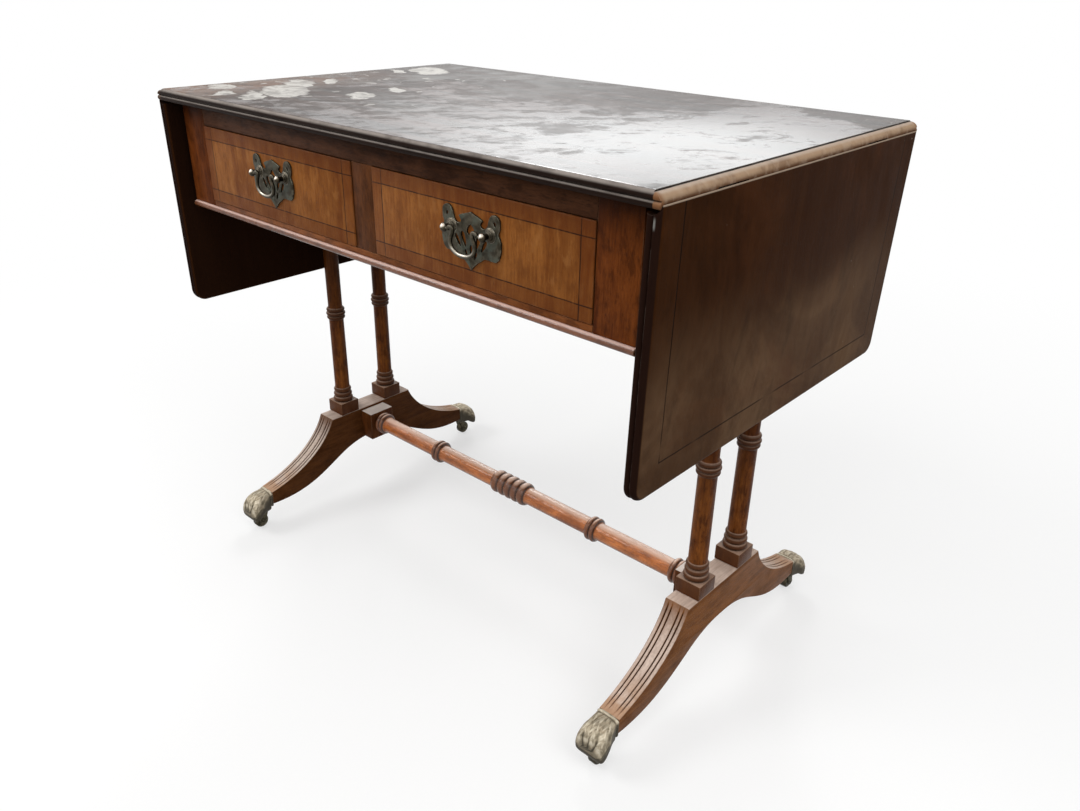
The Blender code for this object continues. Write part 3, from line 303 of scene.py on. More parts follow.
# Rubbed polishes: way of the grain, dark and light wood, roughness, then rubbed_wood's marks by name
POLISHES = {
    "dark_rail_polish": ("X", (0.036, 0.0130, 0.0060), (0.086, 0.0340, 0.0160), 0.38, {
        "rub": 0.4, "gloss": 0.03}),
    "dark_upright_polish": ("Z", (0.066, 0.020, 0.0055), (0.135, 0.046, 0.0145), 0.38, {
        "rub": 0.5, "gloss": 0.05}),
    "red_stile_polish": ("Z", (0.070, 0.0145, 0.0022), (0.205, 0.054, 0.0100), 0.38, {
        "rub": 0.45, "gloss": 0.04, "smoked": (-0.005, 0.052)}),
    "red_rail_polish": ("X", (0.135, 0.036, 0.0085), (0.265, 0.088, 0.0230), 0.36, {
        "rub": 0.5, "gloss": 0.08}),
    "red_back_polish": ("X", (0.125, 0.033, 0.0080), (0.225, 0.073, 0.0190), 0.38, {
        "rub": 0.5, "gloss": 0.06, "mottle": 0.10}),
    "red_end_polish": ("Y", (0.085, 0.0185, 0.0035), (0.180, 0.048, 0.0105), 0.40, {
        "rub": 0.5, "gloss": 0.08}),
    "bead_polish": ("X", (0.105, 0.027, 0.0075), (0.215, 0.072, 0.0260), 0.26, {
        "gloss": 0.45, "sky": (0.80, 0.56, 0.48), "sky_from": (0.52, 0.95), "even": True}),
    "column_polish": ("Z", (0.066, 0.0145, 0.0026), (0.245, 0.078, 0.0145), 0.28, {
        "gloss": 0.06, "mottle": 0.38, "rings": (SHAFT_RADIUS, (0.090, 0.036, 0.0170), 0.0006, 0.0016),
        "sky": (0.36, 0.235, 0.170), "sky_from": (0.40, 0.85), "smoked": (0.04, 0.28)}),
    "stretcher_polish": ("X", (0.350, 0.086, 0.0140), (0.820, 0.275, 0.0680), 0.22, {
        "gloss": 0.45, "mottle": 0.3, "rings": (STRETCHER_RADIUS, (0.118, 0.046, 0.0220), 0.0018, 0.0032),
        "sky": (0.90, 0.62, 0.48), "sky_from": (0.72, 1.0), "even": True, "grimy": (-0.75, 0.05)}),
    # A shaded and a lit copy of one trestle wood: painted shade on the left trestle, painted light on the
    # right
    "shaded_trestle_polish": ("Y", (0.074, 0.024, 0.0064), (0.142, 0.052, 0.0160), 0.32, {
        "gloss": 0.03, "mottle": 0.20, "sky": (0.70, 0.565, 0.48), "reeded": True}),
    "lit_trestle_polish": ("Y", (0.142, 0.049, 0.0130), (0.268, 0.106, 0.0345), 0.32, {
        "gloss": 0.03, "mottle": 0.22, "sky": (0.70, 0.555, 0.465), "reeded": True}),
    "stretcher_end_polish": ("Z", (0.070, 0.019, 0.0048), (0.160, 0.052, 0.0140), 0.32, {
        "gloss": 0.05, "sky": (0.86, 0.76, 0.69), "even": True}),
}

# Brasses: deep, middle and bright tone, roughness, then old_brass's marks by name
BRASSES = {
    "olive_black_brass": ((0.030, 0.025, 0.016), (0.080, 0.070, 0.050), (0.27, 0.245, 0.195), 0.40, {
        "verdigris": (0.074, 0.084, 0.066)}),
    "rubbed_and_highlit_post_brass": ((0.035, 0.030, 0.020), (0.085, 0.072, 0.050), (0.56, 0.50, 0.42), 0.32, {
        "handled": ("Y", -0.0098, -0.0082)}),
    "rubbed_and_highlit_bail_brass": ((0.032, 0.028, 0.019), (0.085, 0.073, 0.052), (0.42, 0.385, 0.325), 0.34, {
        "handled": ("Z", -0.0150, -0.0080)}),
    "weathered_shaded_paw_brass": ((0.19, 0.156, 0.102), (0.39, 0.330, 0.235), (0.60, 0.535, 0.420), 0.50, {
        "relief": True, "metal": 0.65}),
    "dirty_castor_brass": ((0.030, 0.027, 0.018), (0.085, 0.074, 0.048), (0.32, 0.28, 0.20), 0.42, {}),
}

# Studio
PHOTO_WIDTH = 1080
PHOTO_FOCAL = 891.647
SENSOR = 36.0
CAMERA_AT = (0.617, -0.6486, 0.6507)
CAMERA_YAW, CAMERA_PITCH, CAMERA_ROLL = -0.7265, 0.4636, 0.0196
WORLD_LIGHT = 0.34
FLOOR_RADIUS = 9.0
FLOOR_WHITE_FROM = 0.55
FLOOR_BOUNCE = (0.36, 0.36, 0.355)
FLOOR_PALE = ((0.92, 0.92, 0.915), (0.96, 0.96, 0.955))
COOL = (0.95, 0.99, 1.0)
WHITE = (1, 1, 1)

# Soft lamps: place, point faced, width, height, surface brightness and tint
SOFTBOXES = {
    "back_softbox": ((-1.85, 2.74, 1.73), (0.0, 0.0, 0.50), 3.9, 1.5, 0.8, COOL),
    "back_core_softbox": ((-1.84, 2.73, 1.72), (0.0, 0.0, 0.50), 2.4, 1.36, 0.6, COOL),
    "high_back_softbox": ((-2.00, 2.10, 2.20), (0.0, 0.0, 0.10), 0.9, 0.9, 10.0, WHITE),
    "front_left_softbox": ((-1.87, -1.60, 2.15), (0.0, 0.0, 0.25), 1.46, 1.13, 8.0, WHITE),
    "front_softbox": ((0.9, -3.0, 2.4), (0.0, 0.0, 0.2), 2.93, 2.14, 2.4, WHITE),
    "right_softbox": ((2.5, -0.3, 2.3), (0.3, 0.0, 0.3), 1.8, 1.8, 3.5, WHITE),
    "overhead_softbox": ((0.3, -0.5, 3.3), (0.0, 0.0, 0.3), 3.3, 3.3, 0.8, WHITE),
}


# Shader maths


class Wire:
    """A shader socket that takes part in Python sums; each sum adds a Math or Vector Math node."""

    def __init__(self, tree, socket=None):
        self.tree = tree
        self.socket = socket

    def plug(self, socket, value):
        """Give a socket a wire or a plain value."""
        if isinstance(value, Wire):
            self.tree.links.new(value.socket, socket)
        else:
            socket.default_value = value

    def node(self, kind, settings=None, sockets=None, out=0):
        """Add a node: its type, its settings, then the values or wires of its sockets."""
        made = self.tree.nodes.new("ShaderNode" + kind)
        for name, value in (settings or {}).items():
            setattr(made, name, value)
        for key, value in (sockets or {}).items():
            self.plug(made.inputs[key], value)
        return Wire(self.tree, made.outputs[out])

    def is_vector(self):
        return self.socket.type == "VECTOR"

    def work(self, operation, a, b):
        """Sum of two values, or of two vectors where either of them is one."""
        pair = (a, b)
        if any(isinstance(p, tuple) or isinstance(p, Wire) and p.is_vector() for p in pair):
            pair = [(p, p, p) if isinstance(p, (int, float)) else p for p in pair]
            return self.node("VectorMath", {"operation": operation}, {0: pair[0], 1: pair[1]})
        return self.node("Math", {"operation": operation}, {0: a, 1: b})

    def __add__(self, other):
        return self.work("ADD", self, other)

    def __radd__(self, other):
        return self.work("ADD", other, self)

    def __sub__(self, other):
        return self.work("SUBTRACT", self, other)

    def __rsub__(self, other):
        return self.work("SUBTRACT", other, self)

    def __mul__(self, other):
        return self.work("MULTIPLY", self, other)

    def __rmul__(self, other):
        return self.work("MULTIPLY", other, self)

    def __abs__(self):
        return self.node("Math", {"operation": "ABSOLUTE"}, {0: self})

    def most(self, other):
        return self.work("MAXIMUM", self, other)

    def least(self, other):
        return self.work("MINIMUM", self, other)

    def part(self, axis):
        """One coordinate of a vector."""
        return self.node("SeparateXYZ", None, {0: self}, axis)

    def dot(self, other):
        return self.node("VectorMath", {"operation": "DOT_PRODUCT"}, {0: self, 1: other}, "Value")

    def length(self):
        return self.node("VectorMath", {"operation": "LENGTH"}, {0: self}, "Value")

    def rise(self, low, high):
        """Smooth step from 0 at low to 1 at high."""
        settings = {"interpolation_type": "SMOOTHSTEP"}
        return self.node("MapRange", settings, {0: self, 1: low, 2: high})

    def noise(self, scale, detail=2.0, roughness=0.5, distortion=0.0):
        """Noise over a vector of places."""
        sockets = {"Vector": self, "Scale": scale, "Detail": detail, "Roughness": roughness,
                   "Distortion": distortion}
        return self.node("TexNoise", None, sockets)

    def blend(self, first, second):
        """Mix of two colours with this value as the share of the second."""
        settings = {"data_type": "RGBA", "blend_type": "MIX"}
        first, second = ((*c, 1.0) if isinstance(c, tuple) else c for c in (first, second))
        return self.node("Mix", settings, {0: self, 6: first, 7: second}, 2)


class Finish:
    """A material: its shader, the colour laid so far, and wires for places and normals on a piece."""

    def __init__(self, name, **constants):
        self.material = bpy.data.materials.new(name)
        self.material.use_nodes = True
        self.tree = self.material.node_tree
        self.shader = self.tree.nodes["Principled BSDF"]
        self.wire = Wire(self.tree)
        self.colour = None
        for key, value in constants.items():
            self.shader.inputs[key.replace("_", " ")].default_value = value

    def spot(self):
        """Place on the piece, about its own origin."""
        return self.wire.node("TexCoord", out="Object")

    def lot(self):
        """Number that differs from piece to piece."""
        return self.wire.node("ObjectInfo", out="Random")

    def up(self):
        """How far a face looks up, about the piece's own axes."""
        return self.wire.node("TexCoord", out="Normal").part("Z")

    def drawn(self, name):
        """Values that a piece's mesh carries at its points."""
        return self.wire.node("Attribute", {"attribute_name": name}, out="Fac")

    def arris(self, radius):
        """About 0 on flats and up to 1 on sharp edges, and the normals with those edges softened."""
        soft = self.wire.node("Bevel", {"samples": 4}, {"Radius": radius})
        plain = self.wire.node("NewGeometry", out="Normal")
        return (1 - soft.dot(plain)).rise(0.015, 0.16), soft

    def hollows(self, reach):
        """About 1 in the grooves and inner corners of a piece, and 0 in the open."""
        settings = {"samples": 6, "only_local": True}
        open_sky = self.wire.node("AmbientOcclusion", settings, {"Distance": reach}, "AO")
        return (1 - open_sky).rise(0.22, 0.70)

    def lay(self, share, tone):
        """Lay a tone over the colour so far, as much as share says."""
        self.colour = share.blend(self.colour, tone)

    def set(self, **wires):
        """Feed the shader's sockets."""
        for key, value in wires.items():
            self.wire.plug(self.shader.inputs[key.replace("_", " ")], value)

    def done(self, roughness, relief, depth, strength, soft):
        """Feed the shader its colour, a roughness and a bump over softened edges; gives the material."""
        bump = {"Height": relief, "Distance": depth, "Strength": strength, "Normal": soft}
        self.set(Base_Color=self.colour, Roughness=roughness, Normal=self.wire.node("Bump", None, bump))
        return self.material


# Finishes

GRAIN = {"X": (1.0, 12.0, 12.0), "Y": (12.0, 1.0, 12.0), "Z": (12.0, 12.0, 1.0)}
STAIN = {"X": (0.4, 1.0, 1.0), "Y": (1.0, 0.4, 1.0), "Z": (1.0, 1.0, 0.4)}


def shade(tone, share):
    """A tone made darker, or paler where share is over 1."""
    return tuple(share * c for c in tone)


def lay_grain(finish, along, dark, light, contrast=1.0):
    """Mahogany figure, streaks and pores: lays the first colour, and gives the pores and the streaks."""
    lot = finish.lot()
    shift = finish.wire.node("CombineXYZ", None, {0: lot * 7.3, 1: lot * 3.1, 2: lot * 5.7})
    lie = (finish.spot() + shift) * GRAIN[along]
    figure = lie.noise(5.0, 3.0, 0.55, 0.7)
    streak = lie.noise(42.0, 4.0, 0.6)
    pores = lie.noise(170.0, 2.0, 0.5).rise(0.56, 0.68)
    tone = (figure * 0.62 + streak * 0.38).rise(0.5 - 0.2 / contrast, 0.5 + 0.2 / contrast)
    finish.colour = tone.blend(dark, light)
    finish.lay(pores * 0.45, shade(dark, 0.35))
    return pores, streak


def rubbed_wood(name, along, dark, light, rough, rub=0.8, gloss=0.12, mottle=0.35, sky=None,
                sky_from=(0.30, 0.80), even=False, rings=None, smoked=None, reeded=False, grimy=None):
    """Varnished mahogany, mottled, darkened in its grooves by painted shade and rubbed pale along its edges.

    The colour given for faces that look up is a painted highlight, laid between the two looks that follow it,
    and even keeps that highlight free of patches. rings is the shaft's radius, the colour beyond it and the
    two rises above the shaft between which the valleys of its reeds end; those valleys get painted shade. The
    shadow range is the height range over which the colour darkens, a painted shadow under the top. The
    underside range is the range of upward looks below which the colour darkens, painted shade on faces that
    look down. reeded blackens the grooves of a leg with painted shade and wears its reeds towards the paw.
    """
    finish = Finish(name, Specular_IOR_Level=gloss)
    pores, streak = lay_grain(finish, along, dark, light)
    spot = finish.spot()
    patch = spot.noise(38.0, 4.0, 0.6)
    scuff = spot.noise(16.0, 5.0, 0.65)
    stain = (spot * STAIN[along]).noise(120.0, 4.0, 0.62)
    finish.lay((1 - stain.rise(0.34, 0.48)) * mottle, shade(light, 1.25))
    finish.lay(stain.rise(0.50, 0.64) * mottle * 1.4, shade(dark, 0.40))
    finish.lay(scuff.rise(0.5, 0.72) * 0.45, shade(dark, 0.45))
    if rings:
        radius, ring_tone, valley_low, valley_high = rings
        out = (spot * tuple(float(axis != along) for axis in "XYZ")).length()
        on_ring = out.rise(radius + 0.0003, radius + 0.0012)
        finish.lay(on_ring * (0.60 + 0.40 * patch), ring_tone)
    # Painted shadow under the top: the colour darkens over a height range
    if smoked:
        finish.lay(spot.part("Z").rise(*smoked) * 0.85, shade(dark, 0.32))
    # Painted highlight on faces that look up
    if sky:
        upward = finish.up().rise(*sky_from)
        if even:
            weight = upward * (0.85 + 0.15 * patch)
        else:
            weight = upward * (0.66 + 0.34 * scuff.rise(0.30, 0.58)) * (0.76 + 0.24 * streak.rise(0.35, 0.62))
        finish.lay(weight, sky)
    # Painted shade on faces that look down
    if grimy:
        finish.lay((1 - finish.up().rise(*grimy)) * 0.80, shade(dark, 0.42))
    arris, soft = finish.arris(0.0011)
    worn = arris * patch.rise(0.36, 0.58) * rub
    finish.lay(worn, BARE_WOOD)
    # Painted shade in the grooves and inner corners of the piece
    finish.lay(finish.hollows(0.0035) * 0.85, shade(dark, 0.16))
    # Painted shade in the valleys between the reeds
    if rings:
        valley = on_ring * (1 - out.rise(radius + valley_low, radius + valley_high))
        finish.lay(valley * 0.85, shade(ring_tone, 0.25))
    if reeded:
        spent = abs(spot.part("Y")).rise(0.110, 0.150) * patch.rise(0.30, 0.55)
        finish.lay(spent * upward * 0.75, SPENT_REED)
        # Painted shade in the grooves of the legs
        groove = finish.drawn("groove").rise(0.2, 0.75)
        finish.lay(groove * (0.94 - spent * 0.55), shade(dark, 0.20))
    roughness = rough + scuff.rise(0.45, 0.7) * 0.14 + worn * 0.2
    relief = streak * 0.35 - pores * 0.65 + patch * 0.5 - worn * 0.6
    return finish.done(roughness, relief, 0.00022, 0.7, soft)


def polished_top_wood():
    """Dark polish of the top: its gloss is whole to the right, worn at the back and flaked to the left."""
    finish = Finish("worn_top_polish", Specular_IOR_Level=0.10, Coat_Roughness=0.17, Coat_IOR=1.5)
    pores, _ = lay_grain(finish, "X", TOP_DARK, TOP_LIGHT, 1.3)
    spot = finish.spot()
    x, y = spot.part("X"), spot.part("Y")
    lean = finish.wire.node("CombineXYZ", None, {0: spot.dot(FLAKE_ALONG), 1: spot.dot(FLAKE_ACROSS)})
    cloud = (lean * (1.5, 1.0, 1.0)).noise(8.0, 7.0, 0.62, 1.0)
    streaks = (lean * (2.0, 1.0, 1.0)).noise(17.0, 6.0, 0.68, 0.9)
    mottle = spot.noise(48.0, 5.0, 0.68, 0.9)
    fine = spot.noise(150.0, 3.0, 0.6)

    left = (0 - x).rise(-0.10, 0.20)
    back = y.rise(-0.14, 0.12)
    sound = x.rise(0.08, 0.24)
    corner = (x * 0.9 + y * 1.3).rise(0.37, 0.47)
    tired = ((left * 0.10).most(back * 0.115) * (1 - sound * 0.80)).most(corner * 0.15)
    wear = cloud * 0.34 + streaks * 0.44 + mottle * 0.22 + tired - 0.012 - sound * 0.030
    worn = wear.rise(0.495, 0.580)

    tears = finish.wire.node("TexNoise", None, {"Vector": spot, "Scale": 38.0, "Detail": 3.0}, "Color")
    ragged = lean + tears * FLAKE_TEAR
    nearest = None
    for along, across, half, depth in TOP_FLAKES:
        middle = (along + FLAKE_TEAR / 2, across + FLAKE_TEAR / 2, 0.0)
        away = ((ragged - middle) * (1 / half, 1 / depth, 0.0)).length()
        nearest = away if nearest is None else nearest.least(away)
    nearest = nearest + (mottle - 0.5) * 0.6 + (fine - 0.5) * 0.5
    crumbs = spot.noise(30.0, 3.0, 0.55, 1.2) + left * 0.10
    flake = (1 - nearest.rise(0.86, 1.06)).most(crumbs.rise(0.725, 0.765) * left * 0.8)
    rim = (1 - nearest.rise(1.02, 1.14)) * (1 - flake)

    bloom = cloud.rise(0.46, 0.62) * (0.08 + left * (0.22 + 0.14 * back))
    drops = spot.noise(95.0, 2.0, 0.5, 0.5).rise(0.60, 0.66) * spot.noise(14.0, 3.0).rise(0.46, 0.60)
    scratch = (spot * (1.0, 9.0, 1.0)).noise(14.0, 3.0, 0.55, 0.6)
    scratch = (1 - abs(scratch - 0.5).rise(0.0, 0.010)) * mottle.rise(0.46, 0.60)
    rubbed = (0 - x).rise(0.19, 0.27) * (1 - y.rise(-0.10, 0.10))
    arris, soft = finish.arris(0.0008)
    finish.lay(worn * 0.45, TOP_DULL)
    finish.lay(rubbed * 0.65 * mottle.rise(0.30, 0.55), TOP_RUBBED)
    finish.lay(bloom * (0.5 + 0.5 * fine), TOP_BLOOM)
    finish.lay(drops * 0.16, TOP_SPOT)
    finish.lay(scratch * 0.20, TOP_SCRATCH)
    finish.lay(flake * (0.42 + 0.58 * mottle.rise(0.38, 0.56)), TOP_FLAKED)
    finish.lay(rim * 0.45, TOP_FLAKE_RIM)
    finish.lay(arris * mottle.rise(0.40, 0.58) * 0.7, TOP_ARRIS)

    away = ((spot - (0.27, -0.04, 0.0)) * (1.0, 1.0, 0.0)).length()
    whole = (1 - worn * (0.66 + 0.28 * left)) * (1 - flake * 0.75) * (1 - drops * 0.3)
    whole = whole * (1 - fine.rise(0.50, 0.64) * 0.30 * mottle.rise(0.44, 0.58) * (1 - sound))
    whole = whole * (1 - away.rise(0.04, 0.29) * 0.42) * (1 - back * (1 - sound) * 0.40)
    finish.set(Coat_Weight=whole)
    relief = cloud * 0.40 + streaks * 0.25 + mottle * 0.25 - pores * 0.20 - flake * 0.40 - scratch * 0.2
    return finish.done(0.42 + mottle * 0.2, relief, 0.00030, 0.32, soft)


def table_edge_wood():
    """Edges of the fixed top: black reeds with painted highlights on their crests, ovolo ends rubbed to tan
    wood.
    """
    finish = Finish("worn_edge_polish", Specular_IOR_Level=0.03)
    pores, _ = lay_grain(finish, "X", EDGE_DARK, EDGE_LIGHT)
    spot = finish.spot()
    x, y, z = (spot.part(i) for i in range(3))
    patch = spot.noise(34.0, 4.0, 0.6)
    fine = spot.noise(120.0, 3.0, 0.6)
    up = finish.up()
    arris, soft = finish.arris(0.0007)
    under = 1 - z.rise(TOP_UNDER + 0.0001, TOP_UNDER + 0.0006)
    # Painted highlight on the upper half of each bead
    crest_highlight = up.rise(0.24, 0.76) * (0.50 + 0.50 * patch.rise(0.30, 0.55))
    finish.lay(crest_highlight * 0.82, EDGE_CREST_HIGHLIGHT)
    end = abs(y).rise(TOP_DEPTH / 2 - 0.0060, TOP_DEPTH / 2 - 0.0010)
    roll = abs(x).rise(RULE_X + 0.0004, RULE_X + 0.0012) * (1 - under)
    roll = roll * (1 - end * (0 - x).rise(0.0, 0.1) * 0.8)
    # The ovolo's tan wear, brown on its lower half as painted shade and paler on top as a painted highlight
    tan = up.rise(-0.05, 0.60).blend(OVOLO_SHADED_BROWN, OVOLO_TAN)
    tan = (patch.rise(0.48, 0.68) * 0.55).blend(tan, OVOLO_STAIN)
    tan = (fine.rise(0.45, 0.65) * 0.25).blend(tan, OVOLO_SCUFF)
    tan = (up.rise(0.70, 0.97) * 0.55).blend(tan, OVOLO_TOP_HIGHLIGHT)
    tan = (end * 0.8 * patch.rise(0.25, 0.50)).blend(tan, OVOLO_END)
    finish.lay(roll * 0.94, tan)
    worn = arris * patch.rise(0.40, 0.58) * (1 - under) * (1 - roll * 0.5)
    finish.lay(worn * 0.5, EDGE_WORN)
    # Painted shade in the grooves of the edge
    finish.lay(finish.hollows(0.0030) * 0.9, EDGE_HOLLOW_SHADE)
    finish.lay(under * 0.75, EDGE_BELOW)
    roughness = 0.30 + patch * 0.15 + under * 0.25 + roll * 0.20
    return finish.done(roughness, fine * 0.4 + patch * 0.4 - pores * 0.5, 0.0002, 0.6, soft)


def leaf_wood():
    """Dark leaf with a string line let into its face, a painted sheen towards its free end, rubbed at its
    edges.
    """
    finish = Finish("dark_leaf_polish", Specular_IOR_Level=0.006)
    pores, streak = lay_grain(finish, "X", LEAF_DARK, LEAF_LIGHT, 0.5)
    spot = finish.spot()
    x, y, z = (spot.part(i) for i in range(3))
    face = z.rise(LEAF_FACE - 0.0009, LEAF_FACE - 0.0002)
    bound = (abs(y) - (TOP_DEPTH / 2 - LEAF_STRING_INSET)).most(abs(x) - (LEAF_LENGTH - LEAF_STRING_INSET))
    wander = spot.noise(60.0, 2.0) * 0.0006 - 0.0003
    string = 1 - abs(bound + wander).rise(STRING_HALF * 0.8, STRING_HALF * 1.9)
    cloud = spot.noise(6.0, 6.0, 0.60, 0.8)
    smear = (spot * (1.2, 3.0, 1.0)).noise(11.0, 5.0, 0.62, 0.8)
    low = abs(x).rise(0.06, 0.18)
    # Painted sheen towards the free end and in a streak across the face
    painted_sheen = low * (0.35 + 0.65 * cloud.rise(0.38, 0.60)) * (0.70 + 0.30 * smear.rise(0.35, 0.60))
    sheen_streak = 1 - abs((abs(x) - 0.145) + y * 0.22 + (cloud - 0.5) * 0.06).rise(0.0, 0.050)
    sheen_streak = sheen_streak * y.rise(-0.10, 0.06) * (1 - y.rise(0.12, 0.20)) * (0.4 + 0.6 * smear)
    warm = spot.noise(9.0, 6.0, 0.64, 0.6)
    finish.lay(warm.rise(0.50, 0.66) * face * 0.55, LEAF_WARM)
    finish.lay((painted_sheen * 0.78 + sheen_streak * 0.30) * face, LEAF_PAINTED_SHEEN)
    finish.lay(cloud.rise(0.52, 0.70) * (1 - low) * face * 0.45, LEAF_CLOUD)
    finish.lay(smear.rise(0.52, 0.70) * face * 0.30, LEAF_SMEAR)
    finish.lay(string * face * spot.noise(25.0).rise(0.25, 0.45) * 0.9, LEAF_STRING)

    patch = spot.noise(44.0, 4.0, 0.6)
    arris, soft = finish.arris(0.0008)
    body = z.rise(-RULE_DROP + 0.0004, -RULE_DROP + 0.002)
    finish.lay((1 - face) * body * 0.75, LEAF_RIM)
    worn = arris * patch.rise(0.46, 0.60) * body
    finish.lay(worn * 0.45, LEAF_WORN)
    lip = 1 - abs(x).rise(LIP_CLEAR + 0.0004, LIP_CLEAR + 0.0013)
    lip = lip * z.rise(LEAF_FACE - 0.0012, LEAF_FACE - 0.0004)
    finish.lay(lip * patch.rise(0.22, 0.40) * 0.9, LEAF_LIP)
    chip = 1 - abs(x - 0.0125).rise(0.0012, 0.0052)
    chip = chip * (0 - y).rise(TOP_DEPTH / 2 - 0.0030, TOP_DEPTH / 2 - 0.0018)
    finish.lay(chip * (1 - abs(z - 0.0030).rise(0.0005, 0.0016)) * 0.7, LEAF_CHIP)
    nick = spot.noise(240.0, 1.0).rise(0.815, 0.83) * face
    finish.lay(nick, LEAF_NICK)
    under = 1 - z.rise(-RULE_DROP + 0.0001, -RULE_DROP + 0.0006)
    finish.lay(under * 0.7, LEAF_BELOW)
    roughness = 0.36 + cloud.rise(0.42, 0.66) * 0.16 + worn * 0.15 + under * 0.3
    relief = streak * 0.3 - pores * 0.6 + cloud * 0.5 - string * 0.4 - nick
    return finish.done(roughness, relief, 0.0002, 0.5, soft)


def drawer_veneer(half_height):
    """Orange upright veneer: string lines that cross at the corners, a redder border and chipped edges."""
    finish = Finish("orange_drawer_veneer", Specular_IOR_Level=0.06)
    pores, streak = lay_grain(finish, "Z", VENEER_DARK, VENEER_LIGHT, 1.1)
    spot = finish.spot()
    x, y, z = (spot.part(i) for i in range(3))
    face = 1 - y.rise(0.0006, 0.0012)
    wander = spot.noise(45.0, 2.0) * 0.0008 - 0.0004
    across = abs(x) - (DRAWER_HALF - DRAWER_STRING_INSET) + wander
    upright = abs(z) - (half_height - DRAWER_STRING_INSET) + wander
    string = (1 - abs(across).rise(STRING_HALF * 0.6, STRING_HALF * 1.7)).most(
        1 - abs(upright).rise(STRING_HALF * 0.6, STRING_HALF * 1.7))
    border = across.most(upright).rise(-0.0002, 0.0002)
    cloud = spot.noise(17.0, 5.0, 0.64, 0.5)
    fleck = (spot * (1.0, 1.0, 0.4)).noise(110.0, 4.0, 0.62)
    finish.lay(cloud.rise(0.42, 0.66) * 0.50, VENEER_CLOUD)
    finish.lay(fleck.rise(0.50, 0.70) * 0.34, VENEER_FLECK)
    finish.lay((1 - fleck.rise(0.33, 0.46)) * 0.30, VENEER_PALE)
    finish.lay(border * face * 0.45, VENEER_BORDER)
    finish.lay(z.rise(half_height * 0.45, half_height) * 0.42, VENEER_SHADED)
    finish.lay(string * face * (0.60 + 0.35 * fleck.rise(0.35, 0.55)), VENEER_STRING)
    patch = spot.noise(52.0, 4.0, 0.6)
    arris, soft = finish.arris(0.0010)
    chip = arris * patch.rise(0.44, 0.54) * (1 - y.rise(0.0016, 0.003))
    finish.lay((1 - face) * 0.8, VENEER_BACK)
    finish.lay(chip * 0.85, VENEER_CHIP)
    roughness = 0.36 + cloud.rise(0.4, 0.7) * 0.14 + chip * 0.2
    relief = streak * 0.35 - pores * 0.6 + cloud * 0.35 - string * face * 0.5 - chip * 0.7
    return finish.done(roughness, relief, 0.00022, 0.6, soft)


def carcase_wood(name, along, dark, light):
    """Dry, unpolished wood of the drawer boxes and guides, dusty with a few stains."""
    finish = Finish(name, Specular_IOR_Level=0.12)
    pores, streak = lay_grain(finish, along, dark, light, 0.8)
    spot = finish.spot()
    stain = spot.noise(9.0, 5.0, 0.6, 0.6)
    finish.lay(stain.rise(0.52, 0.72) * 0.55, shade(dark, 0.45))
    dust = spot.noise(70.0, 4.0, 0.6).rise(0.5, 0.75)
    finish.lay(dust * 0.25, DUST)
    arris, soft = finish.arris(0.0008)
    finish.lay(arris * dust * 0.6, shade(light, 1.4))
    relief = streak * 0.5 - pores * 0.6 + dust * 0.2
    return finish.done(0.62 + stain.rise(0.4, 0.7) * 0.18, relief, 0.00025, 0.7, soft)


def old_brass(name, deep, mid, bright, rough, relief=False, handled=None, metal=1.0, verdigris=None):
    """Brass gone dark in its hollows and rubbed bright on its high places.

    relief takes the hollows from the carving and the painted shade of a paw's sides and underside.
    The rub is an axis, then the near and the far place between which the hand's rubbing and a painted
    highlight die away; faces turned down and inward get painted shade.
    """
    finish = Finish(name, Metallic=metal)
    spot = finish.spot()
    blotch = spot.noise(150.0, 5.0, 0.65)
    grit = spot.noise(900.0, 3.0, 0.6)
    tarnish = spot.noise(70.0, 4.0, 0.6, 0.5)
    arris, soft = finish.arris(0.0005)
    finish.colour = blotch.rise(0.36, 0.64).blend(deep, mid)
    finish.lay(tarnish.rise(0.50, 0.66) * 0.5, (0.9 * deep[0], 0.65 * deep[1], 0.45 * deep[2]))
    if verdigris:
        finish.lay(spot.noise(75.0, 5.0, 0.66, 0.4).rise(0.47, 0.60) * 0.75, verdigris)
    if relief:
        # Low values darken: patina in the clefts, and painted shade on a paw's sides and underside
        height = finish.drawn("relief")
        finish.colour = height.rise(0.10, 0.50).blend(shade(deep, 0.28), finish.colour)
        bare_and_highlight = (height.rise(0.35, 0.80) * blotch.rise(0.20, 0.50)).most(arris * 0.5)
    else:
        bare_and_highlight = arris * blotch.rise(0.38, 0.56)
        finish.lay(finish.hollows(0.0022) * 0.7, shade(deep, 0.35))
    # Painted highlight on faces turned out and up, with the hand's rubbing near its reach, and painted shade
    # on faces turned away
    if handled:
        axis, near, far = handled
        outward = finish.wire.node("TexCoord", out="Normal").dot((-0.20, -0.62, 0.76))
        reached = 1 - spot.part(axis).rise(near, far)
        bare_and_highlight = (bare_and_highlight * 0.4).most(outward.rise(0.45, 0.95) * (0.10 + 0.90 * reached))
        finish.lay(1 - outward.rise(-0.5, 0.5), shade(deep, 0.4))
    finish.lay(bare_and_highlight * 0.9, bright)
    return finish.done(rough + blotch * 0.22 - bare_and_highlight * 0.14, blotch * 0.6 + grit * 0.35, 0.00014, 0.7, soft)


def hinge_iron():
    """Dull iron of the leaf hinges with brown rust."""
    finish = Finish("hinge_iron", Metallic=0.85)
    rust = finish.spot().noise(120.0, 6.0, 0.7)
    arris, soft = finish.arris(0.0004)
    finish.colour = rust.rise(0.42, 0.62).blend(IRON, RUST)
    finish.lay(arris * 0.5, IRON_ARRIS)
    return finish.done(0.42 + rust.rise(0.4, 0.65) * 0.35, rust, 0.0002, 0.6, soft)


# Shapes


def held(value):
    """A value kept between 0 and 1."""
    return min(1.0, max(0.0, value))


